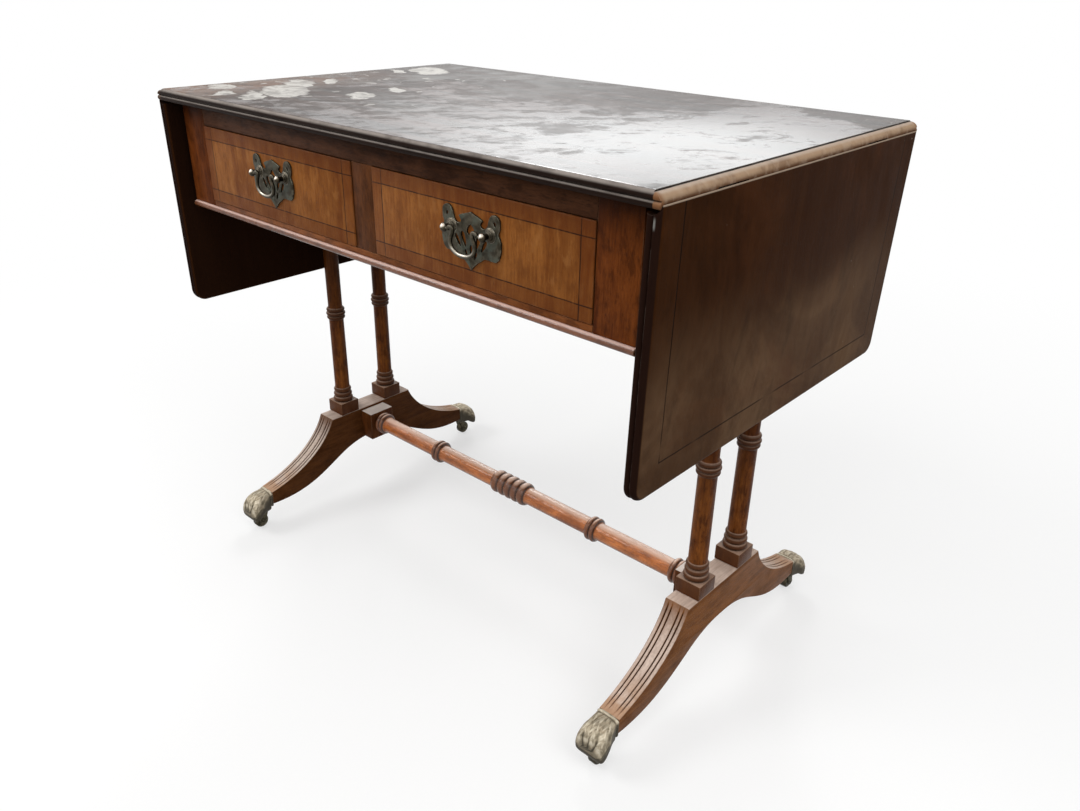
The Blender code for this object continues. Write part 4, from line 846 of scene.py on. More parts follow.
def arc(centre, radius, start, end, steps):
    """Points of an arc, angles in degrees."""
    points = []
    for i in range(steps + 1):
        angle = math.radians(start + (end - start) * i / steps)
        points.append((centre[0] + radius * math.cos(angle), centre[1] + radius * math.sin(angle)))
    return points


def bezier(a, b, c, d, steps):
    """Points of a cubic curve."""
    points = []
    for i in range(steps + 1):
        t = i / steps
        s = 1 - t
        weights = (s ** 3, 3 * s * s * t, 3 * s * t * t, t ** 3)
        points.append(tuple(sum(w * p[k] for w, p in zip(weights, (a, b, c, d))) for k in (0, 1)))
    return points


def run_at(points, i):
    """Direction of a flat line of points at one of them."""
    before, after = points[max(i - 1, 0)], points[min(i + 1, len(points) - 1)]
    return Vector((after[0] - before[0], after[1] - before[1])).normalized()


def loft(rings):
    """Skin rings of equal point counts and close both ends."""
    shape = bmesh.new()
    rows = [[shape.verts.new(point) for point in ring] for ring in rings]
    count = len(rings[0])
    for row, following in zip(rows, rows[1:]):
        for i in range(count):
            j = (i + 1) % count
            shape.faces.new((row[i], row[j], following[j], following[i]))
    shape.faces.new(list(reversed(rows[0])))
    shape.faces.new(rows[-1])
    return shape


def prism(outline, axis, low, high):
    """Extrude a flat outline along an axis: (y, z) along X, (x, z) along Y or (x, y) along Z."""
    place = {
        "X": lambda a, b, along: (along, a, b),
        "Y": lambda a, b, along: (a, along, b),
        "Z": lambda a, b, along: (a, b, along),
    }[axis]
    return loft([[place(a, b, along) for a, b in outline] for along in (low, high)])


def block(low, high):
    """Box between two corners."""
    (x0, y0, z0), (x1, y1, z1) = low, high
    return prism([(x0, y0), (x1, y0), (x1, y1), (x0, y1)], "Z", z0, z1)


def turned(profile, axis="Z", centre=(0, 0, 0), sides=48):
    """Turn (radius, station) points about an axis through centre."""
    middle = Vector(centre)
    rings = []
    for radius, station in profile:
        ring = []
        for i in range(sides):
            angle = 2 * math.pi * (i + 0.5) / sides
            a, b = radius * math.cos(angle), radius * math.sin(angle)
            point = {"X": (station, a, b), "Y": (b, station, a), "Z": (a, b, station)}[axis]
            ring.append(middle + Vector(point))
        rings.append(ring)
    return loft(rings)


def tube(path, radii, sides):
    """Round tube along a flat (x, z) path, about its axis at y = 0."""
    rings = []
    for i, (x, z) in enumerate(path):
        along = run_at(path, i)
        ring = []
        for k in range(sides):
            angle = 2 * math.pi * (k + 0.5) / sides
            out, y = radii[i] * math.cos(angle), radii[i] * math.sin(angle)
            ring.append((x - along.y * out, y, z + along.x * out))
        rings.append(ring)
    return loft(rings)


def ease(shape, width, segments=2):
    """Round the sharp edges of a shape."""
    bmesh.ops.recalc_face_normals(shape, faces=shape.faces)
    sharp = [e for e in shape.edges if e.calc_face_angle(0) > math.radians(SHARP_FROM)]
    bmesh.ops.bevel(shape, geom=sharp, offset=width, segments=segments, profile=0.5, affect="EDGES")
    return shape


def cast(shape, name):
    """Mesh of a shape, which is used up."""
    bmesh.ops.recalc_face_normals(shape, faces=shape.faces)
    mesh = bpy.data.meshes.new(name)
    shape.to_mesh(mesh)
    shape.free()
    return mesh


def gather(*shapes):
    """Lay several closed shapes into one."""
    whole = shapes[0]
    for shape in shapes[1:]:
        mesh = cast(shape, "part")
        whole.from_mesh(mesh)
        bpy.data.meshes.remove(mesh)
    return whole


def carve(shape, tool, operation="DIFFERENCE"):
    """Cut one closed shape with another, as a new shape."""
    blanks = []
    for part in (shape, tool):
        blank = bpy.data.objects.new("blank", cast(part, "blank"))
        bpy.context.scene.collection.objects.link(blank)
        blanks.append(blank)
    work = blanks[0].modifiers.new("carve", "BOOLEAN")
    work.operation = operation
    work.solver = "EXACT"
    work.object = blanks[1]
    result = bmesh.new()
    result.from_object(blanks[0], bpy.context.evaluated_depsgraph_get())
    for blank in blanks:
        mesh = blank.data
        bpy.data.objects.remove(blank)
        bpy.data.meshes.remove(mesh)
    return result


def add_piece(name, shape, finish, body, nodes, at=(0, 0, 0), turn=None, sharp=32):
    """Add one dressed piece, of one finish or several, in place of the solids that it stands for."""
    mesh = cast(shape, name)
    for coat in finish if isinstance(finish, tuple) else (finish,):
        mesh.materials.append(coat)
    mesh.shade_smooth()
    mesh.set_sharp_from_angle(angle=math.radians(sharp))
    piece = bpy.data.objects.new(name, mesh)
    piece.matrix_world = Matrix.Translation(at) @ (turn or Matrix.Identity(4))
    bpy.context.scene.collection.objects.link(piece)
    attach(piece, body)
    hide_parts(*nodes)
    return piece


def mark_points(piece, name, values):
    """Keep a value for each point of a piece's mesh, for its finish."""
    piece.data.attributes.new(name, "FLOAT", "POINT").data.foreach_set("value", values)


def dress(nodes, finish):
    """Give solids that stay their finish."""
    for name in nodes:
        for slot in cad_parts[name].material_slots:
            slot.material = finish


# Top and leaves


def reeded_edge():
    """Section of a table edge as (inset, depth below the surface): two beads with a groove between."""
    upper = [(EDGE_ROUND + y, EDGE_ROUND + z) for y, z in arc((0, 0), EDGE_ROUND, 270, 180, 12)]
    bead_depth = TOP_THICK - EDGE_BEAD - EDGE_FLAT
    lower = [(EDGE_BEAD + y, bead_depth + z) for y, z in arc((0, 0), EDGE_BEAD, 245, 90, 14)]
    groove_top = lower[0][1] - GROOVE_STEP
    turn_in = [(inset, groove_top - rise) for inset, rise in GROOVE_TURN]
    return upper + turn_in + [(EDGE_GROOVE, groove_top)] + lower + [(EDGE_BEAD, TOP_THICK)]


def make_top(face_wood, edge_wood):
    """Fixed top with its ovolo ends, reeded front and back, and the hinge recesses below."""
    end = math.degrees(math.asin(RULE_DROP / RULE_RADIUS))
    right = arc((RULE_X, RULE_Z), RULE_RADIUS, -end, 90, 18)
    right += [(RULE_X, HEIGHT - TOP_LIP), (RULE_X - TOP_LIP, HEIGHT)]
    profile = right + [(-x, z) for x, z in reversed(right)]
    shape = prism(profile, "Y", -TOP_DEPTH / 2 - OVERRUN, TOP_DEPTH / 2 + OVERRUN)
    edge = [(-TOP_DEPTH / 2 + inset, HEIGHT - depth) for inset, depth in reeded_edge()]
    edge[0] = (edge[0][0], HEIGHT)
    section = edge + [(-y, z) for y, z in reversed(edge)]
    shape = carve(shape, prism(section, "X", -RULE_X - 3 * OVERRUN, RULE_X + 3 * OVERRUN), "INTERSECT")
    half = HINGE_WIDTH / 2 + FIT
    below = TOP_UNDER - CUT_PAST
    for _, side in SIDES:
        for _, station in PLACES:
            y = station * HINGE_Y
            x = sorted((side * (RULE_X - HINGE_FIXED_REACH - FIT), side * RULE_X))
            roof = TOP_UNDER + HINGE_PLATE + FIT
            shape = carve(shape, block((x[0], y - half, below), (x[1], y + half, roof)))
            x = sorted((side * (RULE_X - HINGE_COMB - FIT), side * (RULE_X + RULE_RADIUS + SKIM)))
            roof = RULE_Z + RULE_DROP * math.sin(math.radians(LEAF_HANG)) + FIT
            low, high = (x[0], y - half - FIT, below - FIT), (x[1], y + half + FIT, roof)
            shape = carve(shape, block(low, high))
            barrel = [(HINGE_BARREL + 2 * FIT, -half - 2 * FIT), (HINGE_BARREL + 2 * FIT, half + 2 * FIT)]
            shape = carve(shape, turned(barrel, "Y", (side * RULE_X, y, RULE_Z), 24))
    for face in shape.faces:
        face.material_index = int(face.calc_center_median().z < HEIGHT - TOP_LIP)
    add_piece("table_top", shape, (face_wood, edge_wood), "frame", ["top"], sharp=28)


def make_leaf(label, side, finish):
    """Drop leaf drawn open about its joint, then hung."""
    rings = []
    for inset, depth in reeded_edge():
        y = TOP_DEPTH / 2 - inset
        x = LEAF_LENGTH - inset
        radius = LEAF_CORNER - inset
        plan = [(-2 * OVERRUN, -y)] + arc((x - radius, -y + radius), radius, -90, 0, 12)
        plan += arc((x - radius, y - radius), radius, 0, 90, 12) + [(-2 * OVERRUN, y)]
        rings.append([(side * a, b, LEAF_FACE - depth) for a, b in plan])
    cove = RULE_RADIUS + RULE_CLEAR
    end = math.degrees(math.asin(RULE_DROP / cove))
    far = LEAF_LENGTH + 2 * OVERRUN
    high = LEAF_FACE + SKIM
    low = -RULE_DROP - SKIM
    profile = [(LIP_CLEAR, high), (LIP_CLEAR, cove)] + arc((0, 0), cove, 88, -end, 18)
    profile += [(profile[-1][0], low), (far, low), (far, high)]
    profile = [(side * x, z) for x, z in profile]
    joint = prism(profile, "Y", -TOP_DEPTH / 2 - OVERRUN, TOP_DEPTH / 2 + OVERRUN)
    shape = carve(loft(rings), joint, "INTERSECT")
    half = HINGE_WIDTH / 2 + FIT
    reach = sorted((0.0, side * (HINGE_FLAP_REACH + FIT)))
    roof = -RULE_DROP + HINGE_PLATE + FIT
    for _, station in PLACES:
        y = station * HINGE_Y
        shape = carve(shape, block((reach[0], y - half, low), (reach[1], y + half, roof)))
    hang = Matrix.Rotation(side * math.radians(90 + LEAF_HANG), 4, "Y")
    add_piece(f"drop_leaf_{label}", shape, finish, f"leaf_{label}", [f"leaf_{label}"],
              (side * RULE_X, 0, RULE_Z), hang, sharp=28)


# Frieze and drawers


def make_board(name, node, finish, width=EASED):
    """Board of the frame with eased edges, drawn about its own middle."""
    low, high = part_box(node)
    middle = (low + high) / 2
    shape = ease(block(low - middle, high - middle), width)
    add_piece(name, shape, finish, "frame", [node], middle)


def make_bead(finish):
    """Half-round bead under the frieze."""
    low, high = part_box("bead_front")
    radius = (high.z - low.z) / 2
    face = arc((low.y + radius, low.z + radius), radius, 270, 90, 20)
    section = face + [(high.y, high.z), (high.y, low.z)]
    shape = prism(section, "X", low.x, high.x)
    add_piece("frieze_bead", shape, finish, "frame", ["bead_front"])


def plate_outline():
    """Outline of a bat-wing back plate about its middle."""
    w, h = HANDLE_WIDTH / 2, HANDLE_HEIGHT / 2
    half = [(w * x, h * z) for curve in PLATE_CURVES for x, z in bezier(*curve, 10)]
    return half + [(-x, z) for x, z in reversed(half[1:-1])]


def slot_hole(x, z, width, height, lean):
    """Outline of a pierced teardrop in a back plate."""
    points = []
    for i in range(20):
        angle = 2 * math.pi * i / 20
        a = width * math.sin(angle) * (0.72 + 0.28 * math.cos(angle))
        b = height * math.cos(angle)
        points.append((x + a * math.cos(lean) - b * math.sin(lean),
                       z + a * math.sin(lean) + b * math.cos(lean)))
    return points


def bail_path():
    """Middle line of a swan-neck bail as (x, z) about its axis, from post to post."""
    x = POST_SPREAD / 2
    d = BAIL_DROP
    half = [(x + 0.5 * POST_RADIUS, 0.0), (x - POST_RADIUS - 0.0012, 0.0)]
    half += bezier((x - POST_RADIUS - 0.0016, 0.0), (x - 0.0072, 0.0040), (x - 0.0124, 0.0018),
                   (x - 0.0094, -0.18 * d), 14)
    half += bezier((x - 0.0093, -0.20 * d), (x - 0.0040, -0.68 * d), (0.50 * x, -1.0 * d), (0.0, -d), 18)
    return half + [(-a, z) for a, z in reversed(half[:-1])]


def make_handle(label, side, plate_brass, post_brass, bail_brass):
    """Pierced back plate with two posts and their nuts, and the swan-neck bail between them."""
    back = -FIT
    front = back - HANDLE_PLATE
    shape = prism(plate_outline(), "Y", front, back)
    holes = list(PLATE_HOLES)
    for s in (-1, 1):
        holes += [(s * x, z, width, height, s * lean) for x, z, width, height, lean in PLATE_HOLE_PAIRS]
    for hole in holes:
        shape = carve(shape, prism(slot_hole(*hole), "Y", front - CUT_PAST, back + CUT_PAST))
    rim = [e for e in shape.edges if e.calc_face_angle(0) > 0.6
           and all(v.co.y < front + 0.0002 for v in e.verts)]
    bmesh.ops.bevel(shape, geom=rim, offset=PLATE_BEVEL, segments=2, profile=0.5, affect="EDGES")
    head = front - POST_REACH
    nut = DRAWER_FRONT + FIT
    post = [(POST_RADIUS * math.sin(math.pi * t) ** 0.8, head - 0.8 * POST_RADIUS + 1.75 * POST_RADIUS * t)
            for t in (0.02, 0.08, 0.16, 0.26, 0.38, 0.5, 0.62, 0.74)]
    post.append((0.66 * POST_RADIUS, head + 0.82 * POST_RADIUS))
    post += [(share * POST_RADIUS, front - rise) for share, rise in POST_COLLAR]
    posts = []
    for station in (-1, 1):
        centre = (station * POST_SPREAD / 2, 0, POST_RISE)
        posts.append(turned(post, "Y", centre, 32))
        for face in posts[-1].faces:
            face.material_index = 1
        sides_of_nut = [(NUT_RADIUS, nut), (NUT_RADIUS, nut + NUT_HEIGHT)]
        posts.append(ease(turned(sides_of_nut, "Y", centre, 6), 0.0004))
        bolt = [(BOLT_RADIUS, back), (BOLT_RADIUS, nut + NUT_HEIGHT + BOLT_END)]
        posts.append(turned(bolt, "Y", centre, 16))
    add_piece(f"pierced_plate_{label}", gather(shape, *posts), (plate_brass, post_brass), f"drawer_{label}",
              [f"handle_plate_{label}"], (side * DRAWER_X, DRAWER_FACE, OPEN_MID))
    path = bail_path()
    radii = [BAIL_RADIUS * (0.86 + 0.14 * (1 - min(1.0, abs(x) / (0.4 * POST_SPREAD)))) for x, _ in path]
    radii[:2] = radii[-2:] = [BAIL_PIN, BAIL_PIN]
    axis = (side * DRAWER_X, DRAWER_FACE + head, OPEN_MID + POST_RISE)
    add_piece(f"swan_neck_bail_{label}", tube(path, radii, 20), bail_brass, f"bail_{label}",
              [f"bail_{label}"], axis, sharp=50)


# Base


def reeds(start, height, count, inner, outer, steps=12):
    """Half-round reeds along a turned profile, as (radius, station) points."""
    points = []
    for n in range(count):
        for i in range(steps + 1):
            t = i / steps
            points.append((inner + (outer - inner) * math.sin(math.pi * t) ** 0.75,
                           start + height * (n + 0.02 + 0.96 * t)))
    return points


def make_column(name, side, station, finish):
    """Turned column on a square plinth, drawn about the middle of the plinth's top."""
    length = COLUMN_TOP - PLINTH_LOW - PLINTH_HEIGHT
    profile = [(0.8 * FOOT_REED_RADIUS, -0.3 * PLINTH_HEIGHT)]
    start = 0.0
    for step in range(3):
        outer = FOOT_REED_RADIUS - FOOT_REED_STEP * step
        profile += reeds(start, FOOT_REED_HEIGHT, 1, outer - FOOT_REED_DIP, outer)
        start += FOOT_REED_HEIGHT
    profile += [(SHAFT_RADIUS + rise, start + above) for rise, above in SHAFT_FOOT]
    collar = COLLAR_HEIGHT - 1.5 * COLLAR_REED
    profile += [(SHAFT_RADIUS + rise, collar + above) for rise, above in COLLAR_UNDER]
    for step in range(3):
        outer = COLLAR_RADIUS - COLLAR_REED_STEP * abs(step - 1)
        profile += reeds(collar, COLLAR_REED, 1, outer - COLLAR_REED_DIP, outer)
        collar += COLLAR_REED
    profile += [(SHAFT_RADIUS + rise, collar + above) for rise, above in COLLAR_OVER]
    profile.append((SHAFT_RADIUS - SHAFT_SLIM, length))
    half = PLINTH_WIDTH / 2
    plinth = ease(block((-half, -half, -PLINTH_HEIGHT), (half, half, 0.0)), EASED)
    add_piece(f"turned_column_{name}", gather(plinth, turned(profile)), finish, "frame", [f"column_{name}"],
              (side * COLUMN_X, station * COLUMN_Y, PLINTH_LOW + PLINTH_HEIGHT))


def make_stretcher(finish):
    """Turned stretcher with rings at its ends, two collars and a reeded middle."""
    end = STRETCHER_END
    dip = RING_RADIUS - RING_DIP
    profile = reeds(-end, RING_WIDTH, 2, dip, RING_RADIUS)
    profile.append((STRETCHER_RADIUS, -end + 2 * RING_WIDTH + RING_COVE))
    groups = (
        (-STRETCHER_COLLAR_AT, 2, RING_WIDTH),
        (0.0, CENTRE_REEDS, CENTRE_REED_WIDTH),
        (STRETCHER_COLLAR_AT, 2, RING_WIDTH),
    )
    for middle, count, width in groups:
        start = middle - count * width / 2
        profile.append((STRETCHER_RADIUS, start - RING_COVE))
        profile += reeds(start, width, count, dip, RING_RADIUS)
        profile.append((STRETCHER_RADIUS, start + count * width + RING_COVE))
    profile.append((STRETCHER_RADIUS, end - 2 * RING_WIDTH - RING_COVE))
    profile += reeds(end - 2 * RING_WIDTH, RING_WIDTH, 2, dip, RING_RADIUS)
    add_piece("turned_stretcher", turned(profile, "X"), finish, "frame", ["stretcher"],
              (0, 0, STRETCHER_Z))


def pull_in(points, depths, side):
    """Move the points of a (y, z) curve to its inner side, which is right (-1) or left (1) of its run."""
    moved = []
    for i, (y, z) in enumerate(points):
        along = run_at(points, i)
        moved.append((y - side * along.y * depths[i], z + side * along.x * depths[i]))
    return moved


def trestle_ring(groove, round_off):
    """Outline (y, z) of a trestle end, and the share of a groove at its points.

    groove cuts into the upper face of the legs, and round_off all round.
    """
    flat = TRESTLE_FLAT / 2
    fall = TRESTLE_TOP - LEG_END_HIGH
    run = LEG_REACH - flat
    steps = 30
    upper = bezier((flat, TRESTLE_TOP), (flat + 0.125 * run, TRESTLE_TOP - 0.42 * fall),
                   (flat + 0.45 * run, TRESTLE_TOP - 0.83 * fall), (LEG_REACH, LEG_END_HIGH), steps)
    depths, grooves = [], []
    for i in range(steps + 1):
        share = i / steps
        weight = held((share - 0.045) / 0.035) * held((0.985 - share) / 0.03)
        grooves.append(groove * weight / REED_DEPTH)
        depths.append(round_off * min(1.0, share * 12) + groove * weight)
    upper = pull_in(upper, depths, -1)
    upper[0] = (upper[0][0], TRESTLE_TOP - round_off)
    crown = TRESTLE_TOP - TRESTLE_DEPTH
    under = bezier((0.026 * LEG_REACH, crown), (0.405 * LEG_REACH, crown),
                   (0.485 * LEG_REACH, LEG_END_LOW - 0.0055), (LEG_REACH, LEG_END_LOW), steps)
    under = pull_in(under, [round_off] * (steps + 1), 1)
    right = upper + list(reversed(under))
    grooves += [0.0] * len(under)
    return right + [(-y, z) for y, z in reversed(right)], grooves + grooves[::-1]


def make_trestle(label, side, finish):
    """Trestle end with two sabre legs, reeded along their upper faces."""
    half = TRESTLE_THICK / 2
    stations = [(half - inset, 0.0, pulled) for inset, pulled in TRESTLE_ROUND]
    for middle in (REED_OUTER, REED_INNER):
        for share in GROOVE_SHARES:
            cut = 0.5 + 0.5 * math.cos(math.pi * share / GROOVE_SHARES[0])
            stations.append((middle + share * REED_HALF, cut * REED_DEPTH, 0.0))
    stations += [(-x, groove, round_off) for x, groove, round_off in reversed(stations)]
    flat = TRESTLE_FLAT / 2
    rings, grooves = [], []
    for x, groove, round_off in stations:
        ring = []
        outline, shares = trestle_ring(groove, round_off)
        grooves += shares
        for y, z in outline:
            along = max(0.0, (abs(y) - flat) / (LEG_REACH - flat))
            ring.append((x * (1 - along * (1 - LEG_END_WIDTH / TRESTLE_THICK)), y, z))
        rings.append(ring)
    piece = add_piece(f"sabre_trestle_{label}", loft(rings), finish, "frame", [f"trestle_{label}"],
                      (side * COLUMN_X, 0, 0))
    mark_points(piece, "groove", grooves)


def paw_stations():
    """Sizes across a paw: place along it, half width, sole, flank, back of the paw."""
    toe = TOE_WIDER * PAW_WIDTH / 2
    sole = PAW_UNDER - TOE_DROP
    front = PAW_LENGTH - TOE_START
    return (
        (0.0034, PAW_NECK - 0.0006, PAW_UNDER, PAW_HEEL - 0.001, PAW_HIGH - 0.0010),
        (0.55 * TOE_START, PAW_NECK + 0.0009, PAW_UNDER, PAW_HEEL - 0.002, PAW_HIGH - 0.0012),
        (0.93 * TOE_START, toe - 0.0006, PAW_UNDER, PAW_HEEL - 0.0042, PAW_HIGH - 0.0024),
        (TOE_START + 0.35 * front, toe, sole + 0.0016, sole + 0.0046, PAW_HIGH - 0.0052),
        (TOE_START + 0.68 * front, 0.985 * toe, sole, sole + 0.0026, PAW_HIGH - 0.0088),
        (TOE_START + 0.88 * front, 0.91 * toe, sole + 0.0007, sole + 0.0040, PAW_HIGH - 0.0130),
        (PAW_LENGTH, 0.62 * toe, sole + 0.0042, sole + 0.0062, PAW_HIGH - 0.0196),
    )


def between(stations, t):
    """Smooth values between stations; t runs from 0 to 1 over all of them."""
    place = t * (len(stations) - 1)
    i = min(int(place), len(stations) - 2)
    u = place - i
    a, b, c, d = (stations[min(max(k, 0), len(stations) - 1)] for k in (i - 1, i, i + 1, i + 2))
    values = []
    for p, q, r, s in zip(a, b, c, d):
        slope_q, slope_r = (r - p) / 2, (s - q) / 2
        values.append((2 * u ** 3 - 3 * u * u + 1) * q + (u ** 3 - 2 * u * u + u) * slope_q
                      + (-2 * u ** 3 + 3 * u * u) * r + (u ** 3 - u * u) * slope_r)
    return values


def paw_relief(share, t):
    """Rise and tone, 0 to 1, of the hair, knuckles and clefts between four toes, across and along a paw."""
    toes = held((t - 0.60) / 0.16)
    cleft = abs(math.cos(2 * math.pi * share)) ** 9 * toes if abs(share) < 0.8 else 0.0
    lock = 0.0
    for row in range(HAIR_ROWS):
        v = (t + 0.06 - 0.105 * row) / 0.27
        if not 0 < v < 1:
            continue
        u = (3.1 * share + 0.41 * row + 0.26 * math.sin(9 * t + 2.1 * row)
             + 0.22 * math.sin(5.1 * share + 1.7 * row))
        column = math.floor(u)
        cell = u - column - 0.5 + 0.45 * (v - 0.5) * math.sin(5.1 * column + 2.3 * row)
        width = 0.54 * (1 - v) ** 0.5 + 0.05
        body = max(0.0, 1 - (abs(cell) / width) ** 2)
        strand = 0.5 + 0.5 * math.cos(2 * math.pi * (2.7 * cell + 0.6 * v + 0.3 * row))
        height = 0.70 + 0.30 * math.sin(3.1 * column + 1.3 * row)
        lock = max(lock, body * (0.35 + 0.65 * v) * (1 - v ** 6) * (0.62 + 0.38 * strand) * height)
    lock *= held((t - 0.01) / 0.04) * held((0.97 - t) / 0.15)
    knuckle = math.exp(-((t - 0.86) / 0.06) ** 2) * (abs(math.sin(2 * math.pi * share)) * toes)
    rise = -CLEFT_DEPTH * cleft + HAIR_RISE * lock + KNUCKLE_RISE * knuckle
    return rise, held(0.30 + 0.66 * lock + 0.30 * knuckle - 0.34 * cleft)


def make_paw(name, side, station, brass):
    """Brass paw with a band at its back, carved hair and four toes."""
    rows = []
    for y, swell in BAND_SWELL:
        rows.append(((y, PAW_NECK + swell, PAW_HEEL - 0.003 - swell, PAW_HEEL, PAW_HIGH + swell), None))
    count = 90
    stations = paw_stations()
    for i in range(count + 1):
        rows.append((between(stations, i / count), i / count))
    across = 96
    rings, tones = [], []
    for (y, half, low, flank, top), t in rows:
        dome = 0.22 if t is None else 0.22 + 0.43 * min(1.0, t / 0.30)
        ring = []
        for k in range(across + 1):
            share = 2 * k / across - 1
            rise, tone = (0.0, 0.62) if t is None else paw_relief(share, t)
            fall = dome * half * (0.35 * share ** 2 + 0.65 * share ** 6)
            ring.append((half * share, station * y, top - fall + rise * (1 - abs(share) ** 8)))
            tones.append(tone)
        edge = top - dome * half
        # Down the paw's sides the tones fall to nearly black under it: painted shade, with some dirt
        down = []
        for k in range(1, 7):
            u = k / 6
            rise, tone = (0.0, 0.40) if t is None else paw_relief(1.0 + 0.45 * u, t)
            out = half + rise * (1 - u) * min(1.0, 3 * u)
            down.append((out, edge + (flank - edge) * u, 0.6 * tone * (1 - u)))
        for k in range(1, 6):
            u = k / 5
            down.append((half * (1 - 0.42 * u * u), flank + (low - flank) * (1 - (1 - u) ** 2), 0.03))
        ring += [(x, station * y, z) for x, z, _ in down]
        ring += [(-x, station * y, z) for x, z, _ in reversed(down)]
        tones += [tone for _, _, tone in down + down[::-1]]
        rings.append(ring)
    piece = add_piece(f"hairy_paw_{name}", loft(rings), brass, "frame", [f"paw_{name}"],
                      (side * COLUMN_X, station * (LEG_REACH + FIT), 0), sharp=60)
    mark_points(piece, "relief", tones)


def make_castor(name, side, station, brass):
    """Swivelling horn and its wheel under one paw."""
    radius = WHEEL_DIAMETER / 2
    half = WHEEL_WIDTH / 2
    trail = station * TRAIL
    plate_low = CROWN_TOP - CROWN_PLATE
    slim = CROWN_RADIUS - CROWN_CHAMFER
    crown = [(slim, plate_low), (CROWN_RADIUS, plate_low + CROWN_CHAMFER),
             (CROWN_RADIUS, CROWN_TOP - CROWN_CHAMFER), (slim, CROWN_TOP),
             (STEM_RADIUS, CROWN_TOP + 0.0001), (STEM_RADIUS, CROWN_TOP + STEM_RISE)]
    inner = half + CHEEK_GAP
    outer = inner + CHEEK_THICK
    wide = 0.55 * CROWN_RADIUS
    cheek = [(trail + y, radius + z) for y, z in arc((0, 0), CHEEK_END, 180, 360, 16)]
    cheek += [(wide, plate_low + 0.5 * CROWN_PLATE), (-wide, plate_low + 0.5 * CROWN_PLATE)]
    axle = (0, trail, radius)
    parts = [turned(crown, sides=40)]
    for flank in (-1, 1):
        parts.append(ease(prism(cheek, "X", *sorted((flank * inner, flank * outer))), 0.0003))
        rivet = [(RIVET_RADIUS, flank * (inner + 0.5 * CHEEK_THICK)),
                 (RIVET_RADIUS, flank * (outer + 0.0002)), (RIVET_TIP, flank * (outer + 0.0005))]
        parts.append(turned(rivet, "X", axle, 20))
    parts.append(turned([(AXLE_RADIUS, -inner), (AXLE_RADIUS, inner)], "X", axle, 16))
    add_piece(f"castor_fork_{name}", gather(*parts), brass, f"castor_{name}", [f"castor_horn_{name}"],
              (side * COLUMN_X, station * SWIVEL_Y, 0))
    rim = [(0.0018, -half), (0.0034, -half), (0.0036, -half + 0.0004), (radius - 0.0020, -half + 0.0004),
           (radius - 0.0018, -half), (radius - 0.0012, -half), (radius - 0.0004, -half + 0.0005),
           (radius, -half + 0.0013)]
    rim += [(r, -s) for r, s in reversed(rim)]
    add_piece(f"castor_roller_{name}", turned(rim, "X", sides=56), brass, f"wheel_{name}",
              [f"castor_wheel_{name}"], (side * COLUMN_X, station * SWIVEL_Y + trail, radius))


# Table


def make_frieze(polish):
    """Rails, stiles, back board and bead, and the finish of the end rails."""
    make_board("frieze_top_rail", "rail_front_top", polish["dark_rail_polish"])
    make_board("frieze_divider", "divider_front", polish["dark_upright_polish"])
    make_board("frieze_lower_rail", "rail_front_bottom", polish["red_rail_polish"])
    for label, _ in SIDES:
        make_board(f"frieze_stile_{label}", f"stile_front_{label}", polish["red_stile_polish"])
    make_board("frieze_back", "back_rail", polish["red_back_polish"], EASED_MORE)
    make_bead(polish["bead_polish"])
    dress([f"end_rail_{label}" for label, _ in SIDES], polish["red_end_polish"])


def make_drawers(brass):
    """Drawer fronts with their handles, and the finishes of the boxes, guides, fly brackets and hinges."""
    low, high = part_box("drawer_left_front")
    veneer = drawer_veneer((high.z - low.z) / 2)
    for label, side in SIDES:
        low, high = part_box(f"drawer_{label}_front")
        half = (high - low) / 2
        shape = ease(block((-half.x, 0, -half.z), (half.x, DRAWER_FRONT, half.z)), DRAWER_EASED, 3)
        add_piece(f"drawer_face_{label}", shape, veneer, f"drawer_{label}", [f"drawer_{label}_front"],
                  (side * DRAWER_X, DRAWER_FACE, OPEN_MID))
        make_handle(label, side, brass["olive_black_brass"], brass["rubbed_and_highlit_post_brass"],
                    brass["rubbed_and_highlit_bail_brass"])
    box_along = carcase_wood("drawer_side_wood", "Y", BOX_DARK, BOX_LIGHT)
    box_across = carcase_wood("drawer_bottom_wood", "X", BOX_DARK, BOX_LIGHT)
    fly_wood = carcase_wood("fly_wood", "Y", FLY_DARK, FLY_LIGHT)
    iron = hinge_iron()
    dress(["bearer_left", "bearer_right", "guide_centre"], box_along)
    for label, _ in SIDES:
        dress([f"drawer_{label}_side_{s}" for s, _ in SIDES], box_along)
        dress([f"drawer_{label}_back", f"drawer_{label}_bottom"], box_across)
        dress([f"fly_bracket_{label}"], fly_wood)
        dress([f"hinge_{kind}_{label}_{place}" for kind in ("plate", "flap") for place, _ in PLACES], iron)


def make_base(polish, brass):
    """Stretcher, trestles, columns, paws and castors."""
    # The left trestle takes the painted-shade copy of the polish and the right the lit copy
    trestle_wood = {"left": polish["shaded_trestle_polish"], "right": polish["lit_trestle_polish"]}
    make_stretcher(polish["stretcher_polish"])
    for label, side in SIDES:
        make_trestle(label, side, trestle_wood[label])
        make_board(f"stretcher_end_{label}", f"stretcher_block_{label}", polish["stretcher_end_polish"],
                   EASED_MORE)
        for place, station in PLACES:
            name = f"{label}_{place}"
            make_column(name, side, station, polish["column_polish"])
            make_paw(name, side, station, brass["weathered_shaded_paw_brass"])
            make_castor(name, side, station, brass["dirty_castor_brass"])


